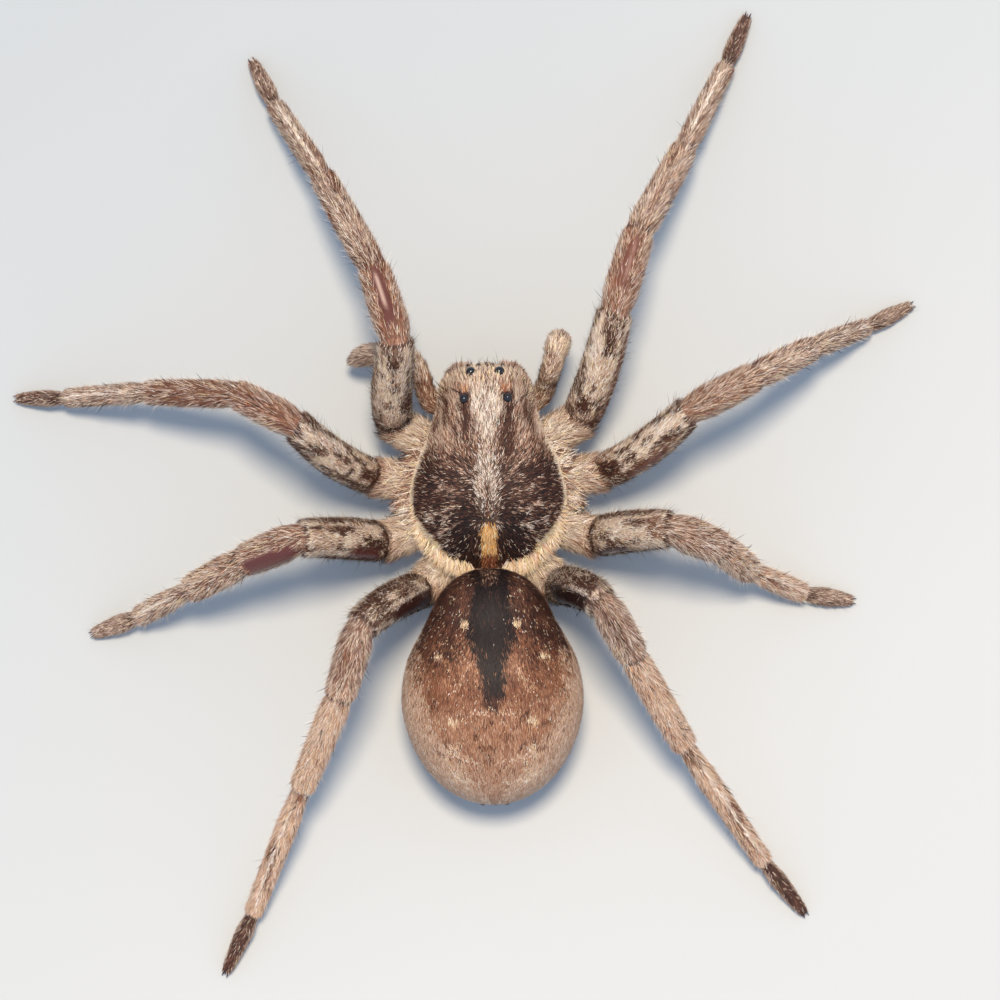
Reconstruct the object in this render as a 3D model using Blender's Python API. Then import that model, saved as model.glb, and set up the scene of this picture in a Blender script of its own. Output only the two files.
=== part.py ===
"""Large female wolf spider, life size, standing still on its eight feet.

The file works in metres with +Z up. The head points towards -Y and the spider's own left is +X.
The constants below are in millimetres, measured from the waist (where thorax and abdomen meet)
at floor level. The whole spider then hangs from one empty, which carries it so that the world
origin is the middle of the spider's outline on the floor.

All sizes run to the tips of the short coat. The body is divided where its parts are named: each
leg is coxa, femur, patella, tibia and foot (metatarsus and tarsus), set end to end on mitred
faces with a thin gap between them.
"""

import math

import bmesh
import bpy
import numpy as np

MM = 0.001
GAP = 0.15  # between neighbouring pieces

# Carapace: half width and top height along the body, over a flat underside.
CARAPACE_FRONT = -9.8
CARAPACE_REAR = 0.4
CARAPACE_BASE = 4.45
CARAPACE_HALF_WIDTH = (
    (-9.8, 1.2), (-9.5, 1.95), (-8.8, 2.4), (-7.6, 2.5), (-6.2, 2.92),
    (-4.7, 3.55), (-3.25, 3.88), (-1.8, 3.62), (-0.8, 3.05), (0.0, 2.35), (0.4, 1.6),
)
CARAPACE_TOP = (
    (-9.8, 5.3), (-9.5, 6.75), (-9.0, 7.3), (-8.0, 7.55), (-6.0, 7.5),
    (-3.6, 7.3), (-1.8, 6.75), (-0.6, 5.9), (0.4, 4.95),
)
HEAD_SQUARENESS = 2.8  # superellipse power of the cross-section at the head
THORAX_SQUARENESS = 2.15
CARAPACE_RINGS = 22
CARAPACE_SIDES = 17

# Abdomen: an egg whose half sizes are sines along its length, times these swells.
ABDOMEN_FRONT = 0.3
ABDOMEN_REAR = 12.3
ABDOMEN_HALF_WIDTH = 4.5
ABDOMEN_ABOVE = 4.0
ABDOMEN_BELOW = 4.05
ABDOMEN_SWELL = ((0.0, 0.98), (0.2, 0.875), (0.4, 0.985), (0.6, 1.04), (0.8, 1.05), (1.0, 1.08))
ABDOMEN_AXIS_HEIGHT = ((0.0, 6.1), (0.45, 5.0), (1.0, 3.9))
ABDOMEN_BLUNTNESS = 0.3  # size of the small flat at each end, as part of a ring's step
ABDOMEN_RINGS = 17
ABDOMEN_SIDES = 20

# Underside of the thorax: a shield between the coxae, as deep as they are.
STERNUM_OUTLINE = ((-6.3, 0.75), (-5.3, 0.86), (-4.6, 1.28), (-3.1, 1.4), (-1.6, 1.15), (-0.5, 0.6))
STERNUM_HEIGHT = (2.2, 4.3)
PEDICEL_RADIUS = 0.6
PEDICEL_SPAN = (-0.34, 0.62)
PEDICEL_HEIGHT = 3.65

# Jaws, mouthparts and feelers.
CHELICERA_AXIS = ((4.28, 1.1, -8.72), (3.2, 1.12, -8.86), (2.2, 1.08, -8.8), (1.45, 1.0, -8.66))
CHELICERA_HALF = ((0.88, 0.92), (0.98, 1.06), (0.88, 0.94), (0.6, 0.62))
FANG_START = (1.28, -9.0, 1.2)
FANG_END = (0.3, -8.72, 0.75)
FANG_DROP = 0.28
FANG_RADIUS = (0.27, 0.12)
MOUTH_BOX = ((-1.35, -7.5, 2.45), (1.35, -6.5, 4.25))
MOUTH_NOTCH = 0.45
PALP_PATHS = {
    "palp_left": ((2.0, -7.4, 3.4), (2.72, -7.95, 3.55), (3.12, -8.85, 3.8), (3.5, -9.85, 3.75),
                  (4.6, -10.45, 3.5), (5.9, -10.4, 2.9), (6.75, -10.1, 2.0)),
    "palp_right": ((-2.15, -7.35, 3.4), (-2.85, -8.3, 3.75), (-3.3, -9.5, 5.1), (-3.58, -10.45, 5.15),
                   (-3.72, -10.85, 4.1), (-3.65, -10.8, 2.6)),
}
PALP_WIDTHS = (0.95, 1.15, 1.15, 1.3, 1.25, 0.8)
PALP_RINGS = 13

# Eyes: x and height on the face, or x and y on top of the head, then the diameter.
EYES = {
    "eye_front_inner": ("face", 0.34, 5.75, 0.28),
    "eye_front_outer": ("face", 0.86, 5.65, 0.24),
    "eye_middle": ("face", 0.72, 6.82, 0.52),
    "eye_rear": ("top", 1.1, -8.05, 0.46),
}
EYE_SUNK = 0.3  # depth of the centre under the surface, as part of the radius
EYE_GAP = 0.05

# Spinnerets: one cluster under the tail.
SPINNERET_SPOT = (0.885, -0.5 * math.pi)  # along the abdomen, and round it from its left side
SPINNERET_DISC = (0.95, 0.35)  # radius, thickness
SPINNERETS = (  # name, place across and along the disc, radius, length
    ("hind", 0.42, 0.4, 0.34, 1.05),
    ("fore", 0.42, -0.42, 0.3, 0.95),
)
SPINNERET_TAPER = (0.85, 0.62)  # of the disc, of a cone
SPINNERET_LEAN = (0.55, 0.4)  # backwards, and more of it for a cone further back
SPINNERET_SPREAD = 0.18

# Leg pairs, front to back: coxa's inner end and the hip (x, y), then the lengths of
# femur, patella, tibia, metatarsus and tarsus.
HIP_HEIGHT = 3.3
LEG_PAIRS = {
    1: ((1.6, -5.3), (4.65, -6.85), (7.35, 4.3, 6.15, 5.45, 2.9)),
    2: ((2.15, -3.85), (5.65, -4.25), (7.5, 4.05, 5.45, 5.1, 2.8)),
    3: ((2.15, -2.2), (5.3, -1.0), (6.8, 3.5, 4.35, 4.3, 2.75)),
    4: ((1.55, -0.75), (3.35, 1.4), (7.5, 3.9, 6.3, 8.1, 3.55)),
}
# Stance of each leg: the size of its lengths against the pair's, then heading and pitch in
# degrees of each length. Headings turn from straight sideways towards the tail. The pitch of
# the metatarsus is left out, because it is the one that brings the toe down to the floor.
STANCE = {
    "leg1_left": (1.0, (-95, 56), (-73, -27), (-62, -29), (-58, None), (-64, -22)),
    "leg1_right": (1.0, (-71, 40), (-72, -19), (-60, -35), (-62, None), (-66, -6)),
    "leg2_left": (1.0, (-36, 52), (-28, -35), (-3, -31), (2, None), (-1, -21)),
    "leg2_right": (0.92, (-34, 41), (-26, -2), (-25, -47), (-20, None), (-25, -7)),
    "leg3_left": (1.0, (-5, 54), (21, -28), (26, -43), (26, None), (19, -20)),
    "leg3_right": (0.93, (-6, 54), (22, -36), (38, -60), (24, None), (9, -6)),
    "leg4_left": (1.0, (27, 63), (72, -17), (66, -36), (67, None), (64, -14)),
    "leg4_right": (1.0, (17, 72), (63, -38), (61, -31), (57, None), (53, -15)),
}
# Width and height at the start, middle and end of each length, its upward bow and its rings.
# All are for a pair of middling thickness.
COXA = ((1.34, 2.05, 2.2), (1.34, 1.75, 1.88), 0.0, 3)
FEMUR = ((2.1, 2.22, 1.94), (2.0, 2.2, 1.88), 0.3, 5)
PATELLA = ((1.88, 1.86, 1.72), (1.84, 1.82, 1.64), 0.12, 3)
TIBIA = ((1.66, 1.64, 1.5), (1.6, 1.6, 1.44), 0.08, 4)
METATARSUS = ((1.34, 1.24, 1.14), (1.3, 1.2, 1.08), 0.05, 4)
TARSUS = ((1.08, 1.14, 1.0), (1.02, 1.04, 0.9), 0.0, 2)
THICKNESS = {1: 1.0, 2: 0.95, 3: 1.04, 4: 0.98}
FEMUR_SWING = {1: 0.2, 2: 0.4, 3: -0.12, 4: -0.25}  # its middle's bow away from the body's front
LEG_SIDES = 10
TOE_HEIGHT = 0.27  # of the tarsus's middle line at its tip
SOLE_LENGTH = 0.9
TOE_TAPER = ((0.55, 0.86), (1.0, 0.66))  # rings along the sole: how far forward, size of the last one
MITRE_MARGIN = 0.2  # least distance from a mitred face to the next ring

FINISHES = {  # colour, roughness
    "carapace_coat": ((0.10, 0.06, 0.04), 0.75),
    "abdomen_coat": ((0.20, 0.11, 0.06), 0.8),
    "pale_coat": ((0.42, 0.31, 0.20), 0.85),
    "leg_coat": ((0.30, 0.21, 0.15), 0.8),
    "dark_horn": ((0.05, 0.02, 0.012), 0.3),
    "eye_glass": ((0.008, 0.007, 0.008), 0.08),
}

UP = np.array([0.0, 0.0, 1.0])


def unit(vector):
    return vector / np.linalg.norm(vector)


def smooth(points, at):
    """A curve without overshoot through (place, value) points: cubics whose slope at each point
    is the harmonic mean of its two neighbours' slopes, and level at a peak or dip."""
    x, y = np.array(points, float).T
    steps = np.diff(y) / np.diff(x)
    slope = np.zeros(len(x))
    same = steps[:-1] * steps[1:] > 0
    slope[1:-1][same] = 2 / (1 / steps[:-1][same] + 1 / steps[1:][same])
    slope[0], slope[-1] = steps[0], steps[-1]
    at = np.clip(at, x[0], x[-1])
    i = np.clip(np.searchsorted(x, at, side="right") - 1, 0, len(x) - 2)
    span = x[i + 1] - x[i]
    s = (at - x[i]) / span
    rise = y[i + 1] - y[i]
    bend = s * (1 - s) * ((1 - s) * (slope[i] * span - rise) - s * (slope[i + 1] * span - rise))
    return y[i] + s * rise + bend


def spaced(values, t):
    """A smooth curve through values at equal steps, read at t from 0 to 1."""
    return smooth(tuple(zip(np.linspace(0, 1, len(values)), values)), t)


def through(values, t):
    """The parabola that takes the three values at t = 0, 0.5 and 1."""
    start, middle, end = values
    return start * (1 - t) * (1 - 2 * t) + middle * 4 * t * (1 - t) + end * t * (2 * t - 1)


def material(slot):
    finish = bpy.data.materials.get(slot)
    if finish is None:
        colour, roughness = FINISHES[slot]
        finish = bpy.data.materials.new(slot)
        finish.use_nodes = True
        shader = finish.node_tree.nodes["Principled BSDF"]
        shader.inputs["Base Color"].default_value = (*colour, 1)
        shader.inputs["Roughness"].default_value = roughness
        shader.inputs["Metallic"].default_value = 0
        finish.diffuse_color = (*colour, 1)
    return finish


def add_object(name, bm, slot, origin):
    """Links the bmesh, drawn in millimetres, as an object that stands at origin."""
    bmesh.ops.recalc_face_normals(bm, faces=bm.faces)
    bmesh.ops.translate(bm, vec=tuple(-c for c in origin), verts=bm.verts)
    bmesh.ops.scale(bm, vec=(MM, MM, MM), verts=bm.verts)
    mesh = bpy.data.meshes.new(name)
    bm.to_mesh(mesh)
    bm.free()
    mesh.materials.append(material(slot))
    mesh.shade_smooth()
    mesh.set_sharp_from_angle(angle=math.radians(50))
    obj = bpy.data.objects.new(name, mesh)
    bpy.context.scene.collection.objects.link(obj)
    obj.location = [c * MM for c in origin]
    obj.parent = spider
    return obj


def turns(sides):
    """Equal angles round a full turn."""
    return np.arange(sides) * 2 * math.pi / sides


def ellipse(centre, first, second, half_first, half_second, sides):
    """A ring of vertices about centre, in the plane of two directions at right angles."""
    angle = turns(sides)
    return (
        centre
        + np.outer(np.cos(angle), first) * half_first
        + np.outer(np.sin(angle), second) * half_second
    )


def helper(obj):
    """Keeps a cutter or a joined-on shape out of the model itself."""
    obj.hide_render = True
    obj.display_type = "WIRE"
    return obj


def lofted(rings):
    """A closed bmesh over rings of equal vertex counts, with a flat face on each end."""
    bm = bmesh.new()
    loops = [[bm.verts.new(point) for point in ring] for ring in rings]
    for ring, following in zip(loops, loops[1:]):
        for i, vertex in enumerate(ring):
            beside = (i + 1) % len(ring)
            bm.faces.new((vertex, ring[beside], following[beside], following[i]))
    bm.faces.new(loops[0])
    bm.faces.new(loops[-1])
    return bm


def carapace_squareness(y):
    return smooth(((-8.5, HEAD_SQUARENESS), (-4.5, THORAX_SQUARENESS)), y)


def carapace_height(x, y):
    """Height of the carapace's surface above the floor at (x, y)."""
    power = carapace_squareness(y)
    across = np.clip(np.abs(x) / smooth(CARAPACE_HALF_WIDTH, y), 0, 1)
    rise = smooth(CARAPACE_TOP, y) - CARAPACE_BASE
    return CARAPACE_BASE + rise * (1 - across**power) ** (1 / power)


def carapace_rings():
    """Superellipse arches over a flat base, closer together at both ends."""
    turn = np.linspace(0, math.pi, CARAPACE_RINGS)
    middle, half = (CARAPACE_REAR + CARAPACE_FRONT) / 2, (CARAPACE_REAR - CARAPACE_FRONT) / 2
    angle = np.linspace(0, math.pi, CARAPACE_SIDES)
    rings = []
    for y in middle - half * np.cos(turn):
        width = smooth(CARAPACE_HALF_WIDTH, y)
        rise = smooth(CARAPACE_TOP, y) - CARAPACE_BASE
        power = 2 / carapace_squareness(y)
        x = width * np.sign(np.cos(angle)) * np.abs(np.cos(angle)) ** power
        z = CARAPACE_BASE + rise * np.sin(angle).clip(0) ** power
        rings.append(np.column_stack([x, np.full_like(x, y), z]))
    return rings


def eye_places():
    """Each eye's centre and radius, for both sides of the head."""
    for name, (where, x, second, diameter) in EYES.items():
        if where == "face":
            z = second
            depths = np.linspace(CARAPACE_FRONT, CARAPACE_FRONT + 3, 3001)
            y = depths[np.argmax(carapace_height(x, depths) >= z)]
        else:
            y = second
            z = float(carapace_height(x, y))
        step = 0.01
        slope_x = (carapace_height(x + step, y) - carapace_height(x - step, y)) / (2 * step)
        slope_y = (carapace_height(x, y + step) - carapace_height(x, y - step)) / (2 * step)
        outward = unit(np.array([-slope_x, -slope_y, 1.0]))
        centre = np.array([x, y, z]) - outward * EYE_SUNK * diameter / 2
        for side, sign in (("left", 1), ("right", -1)):
            yield f"{name}_{side}", centre * (sign, 1, 1), diameter / 2


def add_carapace_and_eyes():
    shell = add_object("carapace", lofted(carapace_rings()), "carapace_coat", (0, -4.5, CARAPACE_BASE))
    sockets = bmesh.new()
    for name, centre, radius in eye_places():
        for bm, size in ((sockets, radius + EYE_GAP), (bmesh.new(), radius)):
            ball = bmesh.ops.create_icosphere(bm, subdivisions=2, radius=size)["verts"]
            bmesh.ops.translate(bm, vec=centre, verts=ball)
            if bm is not sockets:
                add_object(name, bm, "eye_glass", centre)
    cut = shell.modifiers.new("eye sockets", "BOOLEAN")
    cut.operation = "DIFFERENCE"
    cut.object = helper(add_object("eye_socket_cutters", sockets, "eye_glass", (0, -9, 6.5)))


def abdomen_point(along, around):
    """A point of the abdomen: along runs from 0 at the waist to 1 at the tail, and around is the
    angle from the left side over the back."""
    turn = np.arccos(1 - 2 * np.asarray(along, float))
    size = np.sin(turn) * smooth(ABDOMEN_SWELL, along)
    height = np.where(np.sin(around) > 0, ABDOMEN_ABOVE, ABDOMEN_BELOW)
    x = size * ABDOMEN_HALF_WIDTH * np.cos(around)
    y = ABDOMEN_FRONT + (ABDOMEN_REAR - ABDOMEN_FRONT) * along
    z = smooth(ABDOMEN_AXIS_HEIGHT, along) + size * height * np.sin(around)
    return np.stack(np.broadcast_arrays(x, y, z), axis=-1)


def add_abdomen():
    turn = np.linspace(0, math.pi, ABDOMEN_RINGS + 2)
    turn[0], turn[-1] = turn[1] * ABDOMEN_BLUNTNESS, math.pi - turn[1] * ABDOMEN_BLUNTNESS
    rings = [abdomen_point((1 - math.cos(t)) / 2, turns(ABDOMEN_SIDES)) for t in turn]
    add_object("abdomen", lofted(rings), "abdomen_coat", (0, 6, 5))


def add_spinnerets():
    """A disc on the skin with two pairs of blunt cones, made one by unions."""
    along, around = SPINNERET_SPOT
    spot = abdomen_point(along, around)
    backwards = unit(abdomen_point(along + 0.01, around) - abdomen_point(along - 0.01, around))
    across = np.array([1.0, 0.0, 0.0])
    outward = np.cross(backwards, across)
    outward *= -np.sign(outward[2])
    disc_radius, disc_depth = SPINNERET_DISC

    def cone(foot, axis, radius, tip_radius, length, sides):
        first = unit(np.cross(axis, UP))
        second = np.cross(axis, first)
        return lofted([
            ellipse(foot, first, second, radius, radius, sides),
            ellipse(foot + axis * length, first, second, tip_radius, tip_radius, sides),
        ])

    base = spot + outward * GAP
    disc = cone(base, outward, disc_radius, disc_radius * SPINNERET_TAPER[0], disc_depth, 12)
    cluster = add_object("spinnerets", disc, "abdomen_coat", spot)
    for name, right, back, radius, length in SPINNERETS:
        for side, sign in (("left", 1), ("right", -1)):
            foot = base + across * right * sign + backwards * back + outward * disc_depth / 2
            lean = SPINNERET_LEAN[0] + back * SPINNERET_LEAN[1]
            axis = unit(outward + backwards * lean + across * SPINNERET_SPREAD * sign)
            solid = cone(foot, axis, radius, radius * SPINNERET_TAPER[1], length, 8)
            join = cluster.modifiers.new(f"{name} {side}", "BOOLEAN")
            join.operation = "UNION"
            join.object = helper(add_object(f"spinneret_{name}_{side}", solid, "abdomen_coat", spot))


def plate(outline, levels):
    """A closed bmesh from one outline at several heights, drawn in or out about its middle."""
    middle = outline.mean(axis=0)
    rings = []
    for height, size in levels:
        flat = middle + (outline - middle) * size
        rings.append(np.column_stack([flat, np.full(len(flat), height)]))
    return lofted(rings)


def add_sternum():
    """The shield between the coxae, its lower edge drawn in."""
    low, high = STERNUM_HEIGHT
    y = np.linspace(STERNUM_OUTLINE[0][0], STERNUM_OUTLINE[-1][0], 12)
    half = smooth(STERNUM_OUTLINE, y)
    outline = np.vstack([np.column_stack([half, y]), np.column_stack([-half, y])[::-1]])
    levels = ((low, 0.72), (low + 0.25, 0.93), (low + 0.6, 1.0), (high, 1.0))
    add_object("sternum", plate(outline, levels), "dark_horn", (0, -3.4, low))


def add_pedicel():
    backwards = np.array([0.0, 1.0, 0.0])
    rings = [
        ellipse((0, y, PEDICEL_HEIGHT), np.cross(backwards, UP), UP, PEDICEL_RADIUS, PEDICEL_RADIUS, 10)
        for y in PEDICEL_SPAN
    ]
    add_object("pedicel", lofted(rings), "pale_coat", (0, 0, PEDICEL_HEIGHT))


def add_jaws():
    """On each side the stout basal piece of the jaw, hanging, and a fang folded in below it."""
    t = np.linspace(0, 1, 8)
    z, x, y = (spaced(column, t) for column in zip(*CHELICERA_AXIS))
    half_x, half_y = (spaced(column, t) for column in zip(*CHELICERA_HALF))
    start, end = np.array(FANG_START), np.array(FANG_END)
    level = unit(np.cross(end - start, UP))
    over = unit(np.cross(level, end - start))
    for side, sign in (("left", 1), ("right", -1)):
        rings = [
            ellipse((sign * x[i], y[i], z[i]), (1, 0, 0), (0, 1, 0), half_x[i], half_y[i], 12)
            for i in range(len(t))
        ]
        add_object(f"chelicera_{side}", lofted(rings), "dark_horn", (sign * x[0], y[0], z[0]))
        rings = []
        for s in np.linspace(0, 1, 5):
            centre = start + (end - start) * s - UP * FANG_DROP * math.sin(math.pi * s) * (1 - s)
            radius = FANG_RADIUS[0] * (1 - s) + FANG_RADIUS[1] * s
            rings.append(ellipse(centre, level, over, radius, radius, 8) * (sign, 1, 1))
        add_object(f"fang_{side}", lofted(rings), "dark_horn", start * (sign, 1, 1))


def add_mouthparts():
    """Two lobes beside the lip: a block whose front edge is two bulges."""
    (left, front, low), (right, back, high) = MOUTH_BOX
    x = np.linspace(left, right, 9)
    bulge = np.sqrt(np.abs(np.sin(2 * math.pi * (x - left) / (right - left))))
    front_edge = np.column_stack([x, front + MOUTH_NOTCH * (1 - bulge)])
    outline = np.vstack([front_edge, np.column_stack([x[::-1], np.full_like(x, back)])])
    levels = ((low, 0.8), (low + 0.3, 0.97), (high, 1.0))
    add_object("mouthparts", plate(outline, levels), "dark_horn", (0, front, low))


def add_palps():
    """Feelers: round tubes along a smooth path, each ring square to it."""
    t = np.linspace(0, 1, PALP_RINGS)
    widths = spaced(PALP_WIDTHS, t)
    for name, path in PALP_PATHS.items():
        centres = np.column_stack([spaced(column, t) for column in zip(*path)])
        outward = (math.copysign(1, path[0][0]), 0.35, 0)
        rings = []
        for centre, direction, width in zip(centres, np.gradient(centres, axis=0), widths):
            level = unit(np.cross(direction, outward))
            other = unit(np.cross(direction, level))
            rings.append(ellipse(centre, level, other, width / 2, width / 2, LEG_SIDES))
        add_object(name, lofted(rings), "leg_coat", path[0])


def leg_points(name):
    """The leg's joints from the coxa's inner end to the toe."""
    pair = int(name[3])
    sign = 1 if name.endswith("left") else -1
    inner, hip, lengths = LEG_PAIRS[pair]
    scale, *angles = STANCE[name]
    toe_rise = lengths[4] * scale * math.sin(math.radians(angles[4][1]))
    points = [np.array([sign * x, y, HIP_HEIGHT]) for x, y in (inner, hip)]
    for length, (heading, pitch) in zip(lengths, angles):
        length *= scale
        if pitch is None:
            drop = TOE_HEIGHT - toe_rise - points[-1][2]
            pitch = math.degrees(math.asin(drop / length))
        heading, pitch = math.radians(heading), math.radians(pitch)
        level = math.cos(pitch)
        step = (sign * math.cos(heading) * level, math.sin(heading) * level, math.sin(pitch))
        points.append(points[-1] + length * np.array(step))
    return points


def limb_rings(start, end, size, before=None, after=None, gap=GAP, swing=0.0):
    """Rings of one length of leg, bowed upwards and, by swing, sideways. An end with a neighbour
    lies on the plane that halves the angle between the two, half the gap short of it; an end
    without one is square."""
    widths, heights, bow, count = size
    axis = unit(end - start)
    level = unit(np.cross(axis, UP))
    over = np.cross(level, axis)
    length = np.linalg.norm(end - start)
    thick = max(widths + heights) / 2
    planes, margins = [], []
    for neighbour in (before, after):
        normal = axis if neighbour is None else unit(axis + neighbour)
        planes.append(normal)
        lean = math.acos(min(1.0, float(axis @ normal)))
        margins.append(thick * math.tan(lean) + MITRE_MARGIN)
    rings = []
    for place in (0, *np.linspace(margins[0], length - margins[1], count), length):
        t = place / length
        centre = start + axis * place + (over * bow + level * swing) * 4 * t * (1 - t)
        half_width, half_height = through(widths, t) / 2, through(heights, t) / 2
        rings.append(ellipse(centre, level, over, half_width, half_height, LEG_SIDES))
    for index, joint, normal, inward in ((0, start, planes[0], 1), (-1, end, planes[1], -1)):
        face = joint + normal * inward * gap / 2
        shift = (face - rings[index]) @ normal / (axis @ normal)
        rings[index] = rings[index] + np.outer(shift, axis)
    return rings


def foot_rings(knuckle, ankle, toe, before, thick):
    """Metatarsus and tarsus in one piece. Under the tip the two lowest rows lie on the floor."""
    shank, axis = unit(ankle - knuckle), unit(toe - ankle)
    sole_start = toe - axis * SOLE_LENGTH
    rings = limb_rings(knuckle, ankle, thickened(METATARSUS, thick), before, axis)[:-1]
    rings += limb_rings(ankle, sole_start, thickened(TARSUS, thick), shank, None, gap=0)
    for forward, size in TOE_TAPER:
        section = (rings[-1] - rings[-1].mean(axis=0)) * size
        rings.append(toe - axis * SOLE_LENGTH * (1 - forward) + section)
    lowest = np.argsort(np.sin(turns(LEG_SIDES)), kind="stable")[:2]
    for ring in rings[-1 - len(TOE_TAPER):]:
        ring[lowest, 2] = 0
    for ring in rings:
        ring[:, 2] = ring[:, 2].clip(0)
    return rings


def thickened(size, factor):
    widths, heights, bow, count = size
    return tuple(w * factor for w in widths), tuple(h * factor for h in heights), bow, count


def add_legs():
    for name in STANCE:
        pair = int(name[3])
        sign = 1 if name.endswith("left") else -1
        thick = THICKNESS[pair]
        femur, patella, tibia = (thickened(size, thick) for size in (FEMUR, PATELLA, TIBIA))
        swing = FEMUR_SWING[pair] * -sign
        coxa, hip, knee, patella_end, tibia_end, ankle, toe = leg_points(name)
        joints = (hip, knee, patella_end, tibia_end, ankle)
        directions = [unit(b - a) for a, b in zip(joints, joints[1:])]
        inward = unit(hip - coxa)
        pieces = {
            "coxa": limb_rings(coxa, hip, COXA, None, directions[0]),
            "femur": limb_rings(hip, knee, femur, inward, directions[1], swing=swing),
            "patella": limb_rings(knee, patella_end, patella, directions[0], directions[2]),
            "tibia": limb_rings(patella_end, tibia_end, tibia, directions[1], directions[3]),
            "foot": foot_rings(tibia_end, ankle, toe, directions[2], thick),
        }
        origins = {"coxa": coxa, "femur": hip, "patella": knee, "tibia": patella_end,
                   "foot": (ankle[0], ankle[1], 0)}
        for piece, rings in pieces.items():
            slot = "pale_coat" if piece == "coxa" else "leg_coat"
            add_object(f"{name}_{piece}", lofted(rings), slot, origins[piece])


def centre_on_floor():
    """Moves the spider so that the origin is under the middle of its outline."""
    bpy.context.view_layer.update()
    shown = [obj for obj in spider.children if not obj.hide_render]
    corners = np.array([
        obj.matrix_world @ vertex.co for obj in shown for vertex in obj.data.vertices
    ])
    middle = (corners.min(axis=0) + corners.max(axis=0)) / 2
    spider.location = (-middle[0], -middle[1], 0)


for existing in list(bpy.data.objects):
    bpy.data.objects.remove(existing, do_unlink=True)
spider = bpy.data.objects.new("spider", None)
bpy.context.scene.collection.objects.link(spider)

add_carapace_and_eyes()
add_abdomen()
add_spinnerets()
add_sternum()
add_pedicel()
add_jaws()
add_mouthparts()
add_palps()
add_legs()
centre_on_floor()
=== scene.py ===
import math

import bpy
import numpy as np
from mathutils.bvhtree import BVHTree
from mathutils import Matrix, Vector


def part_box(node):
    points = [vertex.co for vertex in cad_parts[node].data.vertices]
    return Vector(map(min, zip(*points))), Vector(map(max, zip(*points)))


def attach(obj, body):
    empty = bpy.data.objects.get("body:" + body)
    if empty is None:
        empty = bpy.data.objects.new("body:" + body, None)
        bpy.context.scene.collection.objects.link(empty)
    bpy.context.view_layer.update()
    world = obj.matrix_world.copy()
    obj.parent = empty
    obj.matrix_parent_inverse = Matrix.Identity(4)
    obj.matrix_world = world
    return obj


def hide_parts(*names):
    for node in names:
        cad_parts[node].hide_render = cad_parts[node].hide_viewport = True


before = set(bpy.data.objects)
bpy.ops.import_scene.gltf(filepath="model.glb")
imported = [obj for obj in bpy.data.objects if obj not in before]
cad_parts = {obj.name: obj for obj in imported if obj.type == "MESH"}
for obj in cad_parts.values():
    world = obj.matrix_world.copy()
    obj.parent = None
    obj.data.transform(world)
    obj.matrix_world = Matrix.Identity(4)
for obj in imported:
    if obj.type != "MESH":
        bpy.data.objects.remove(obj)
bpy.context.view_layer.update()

mm = 0.001
dice = np.random.default_rng(41)
up = np.array([0.0, 0.0, 1.0])
backwards = np.array([0.0, 1.0, 0.0])
leftwards = np.array([1.0, 0.0, 0.0])  # the spider's own left
below = -0.5 * math.pi  # the angle at which a body's rings start and end


def boxOf(node):
    # a solid's lowest and highest corner, in mm
    return [np.array(corner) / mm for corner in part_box(node)]


# Sizes below are in mm. Body places are measured from the waist, at floor level; the waist lies
# 0.4 in front of the carapace's rear edge.
carapaceLow, carapaceHigh = boxOf("carapace")
waist = np.array([(carapaceLow[0] + carapaceHigh[0]) / 2, carapaceHigh[1] - 0.4, 0.0])
print("frame loaded,", len(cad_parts), "solids, waist at", waist.round(2))


def unit(vectors):
    # v / |v|
    return vectors / np.maximum(np.linalg.norm(vectors, axis=-1, keepdims=True), 1e-12)


def ease(low, high, x):
    # 3t^2 - 2t^3 as x goes from low to high
    t = np.clip((np.asarray(x, float) - low) / (high - low), 0, 1)
    return t * t * (3 - 2 * t)


def hump(x, middle, width):
    # e^-((x - middle) / width)^2
    return np.exp(-(((np.asarray(x, float) - middle) / width) ** 2))


def curve(points, at):
    # cubics through (place, value) points, whose slope at a point is the harmonic mean of its
    # neighbours' slopes and 0 at a peak or dip, so that nothing overshoots
    x, y = np.array(points, float).T
    steps = np.diff(y) / np.diff(x)
    slope = np.zeros(len(x))
    same = steps[:-1] * steps[1:] > 0
    slope[1:-1][same] = 2 / (1 / steps[:-1][same] + 1 / steps[1:][same])
    slope[0], slope[-1] = steps[0], steps[-1]
    at = np.clip(at, x[0], x[-1])
    i = np.clip(np.searchsorted(x, at, side="right") - 1, 0, len(x) - 2)
    span = x[i + 1] - x[i]
    s = (at - x[i]) / span
    rise = y[i + 1] - y[i]
    arch = s * (1 - s) * ((1 - s) * (slope[i] * span - rise) - s * (slope[i + 1] * span - rise))
    return y[i] + s * rise + arch


def spaced(values, t):
    # a curve through values at equal steps from 0 to 1
    return curve(tuple(zip(np.linspace(0, 1, len(values)), values)), t)


def bend(control, t):
    # uniform cubic B-spline over control rows, t from 0 at the first row to n - 1 at the last
    control = np.asarray(control, float)
    padded = np.concatenate([2 * control[:1] - control[1:2], control, 2 * control[-1:] - control[-2:-1]])
    i = np.clip(np.floor(t).astype(int), 0, len(control) - 2)
    f = (t - i).reshape(-1, *[1] * (control.ndim - 1))
    weights = ((1 - f) ** 3, 3 * f**3 - 6 * f**2 + 4, 3 * (f + f**2 - f**3) + 1, f**3)
    return sum(w * padded[i + k] for k, w in enumerate(weights)) / 6


def signedPower(x, power):
    # |x|^power with the sign of x
    return np.sign(x) * np.abs(x) ** power


def fullTurn(columns, start=0.0):
    # angles all the way round, the last one the same as the first
    return np.linspace(start, start + 2 * math.pi, columns + 1)


def poleToPole(rows, gap=0.0):
    # angles from one pole of a closed form to the other, as a column that stops gap short of them
    return np.linspace(gap, math.pi - gap, rows)[:, None]


def gridOf(x, y, z):
    # a grid of points from three grids, which may each lack rows or columns
    return np.stack(np.broadcast_arrays(x, y, z), axis=-1)


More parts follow.
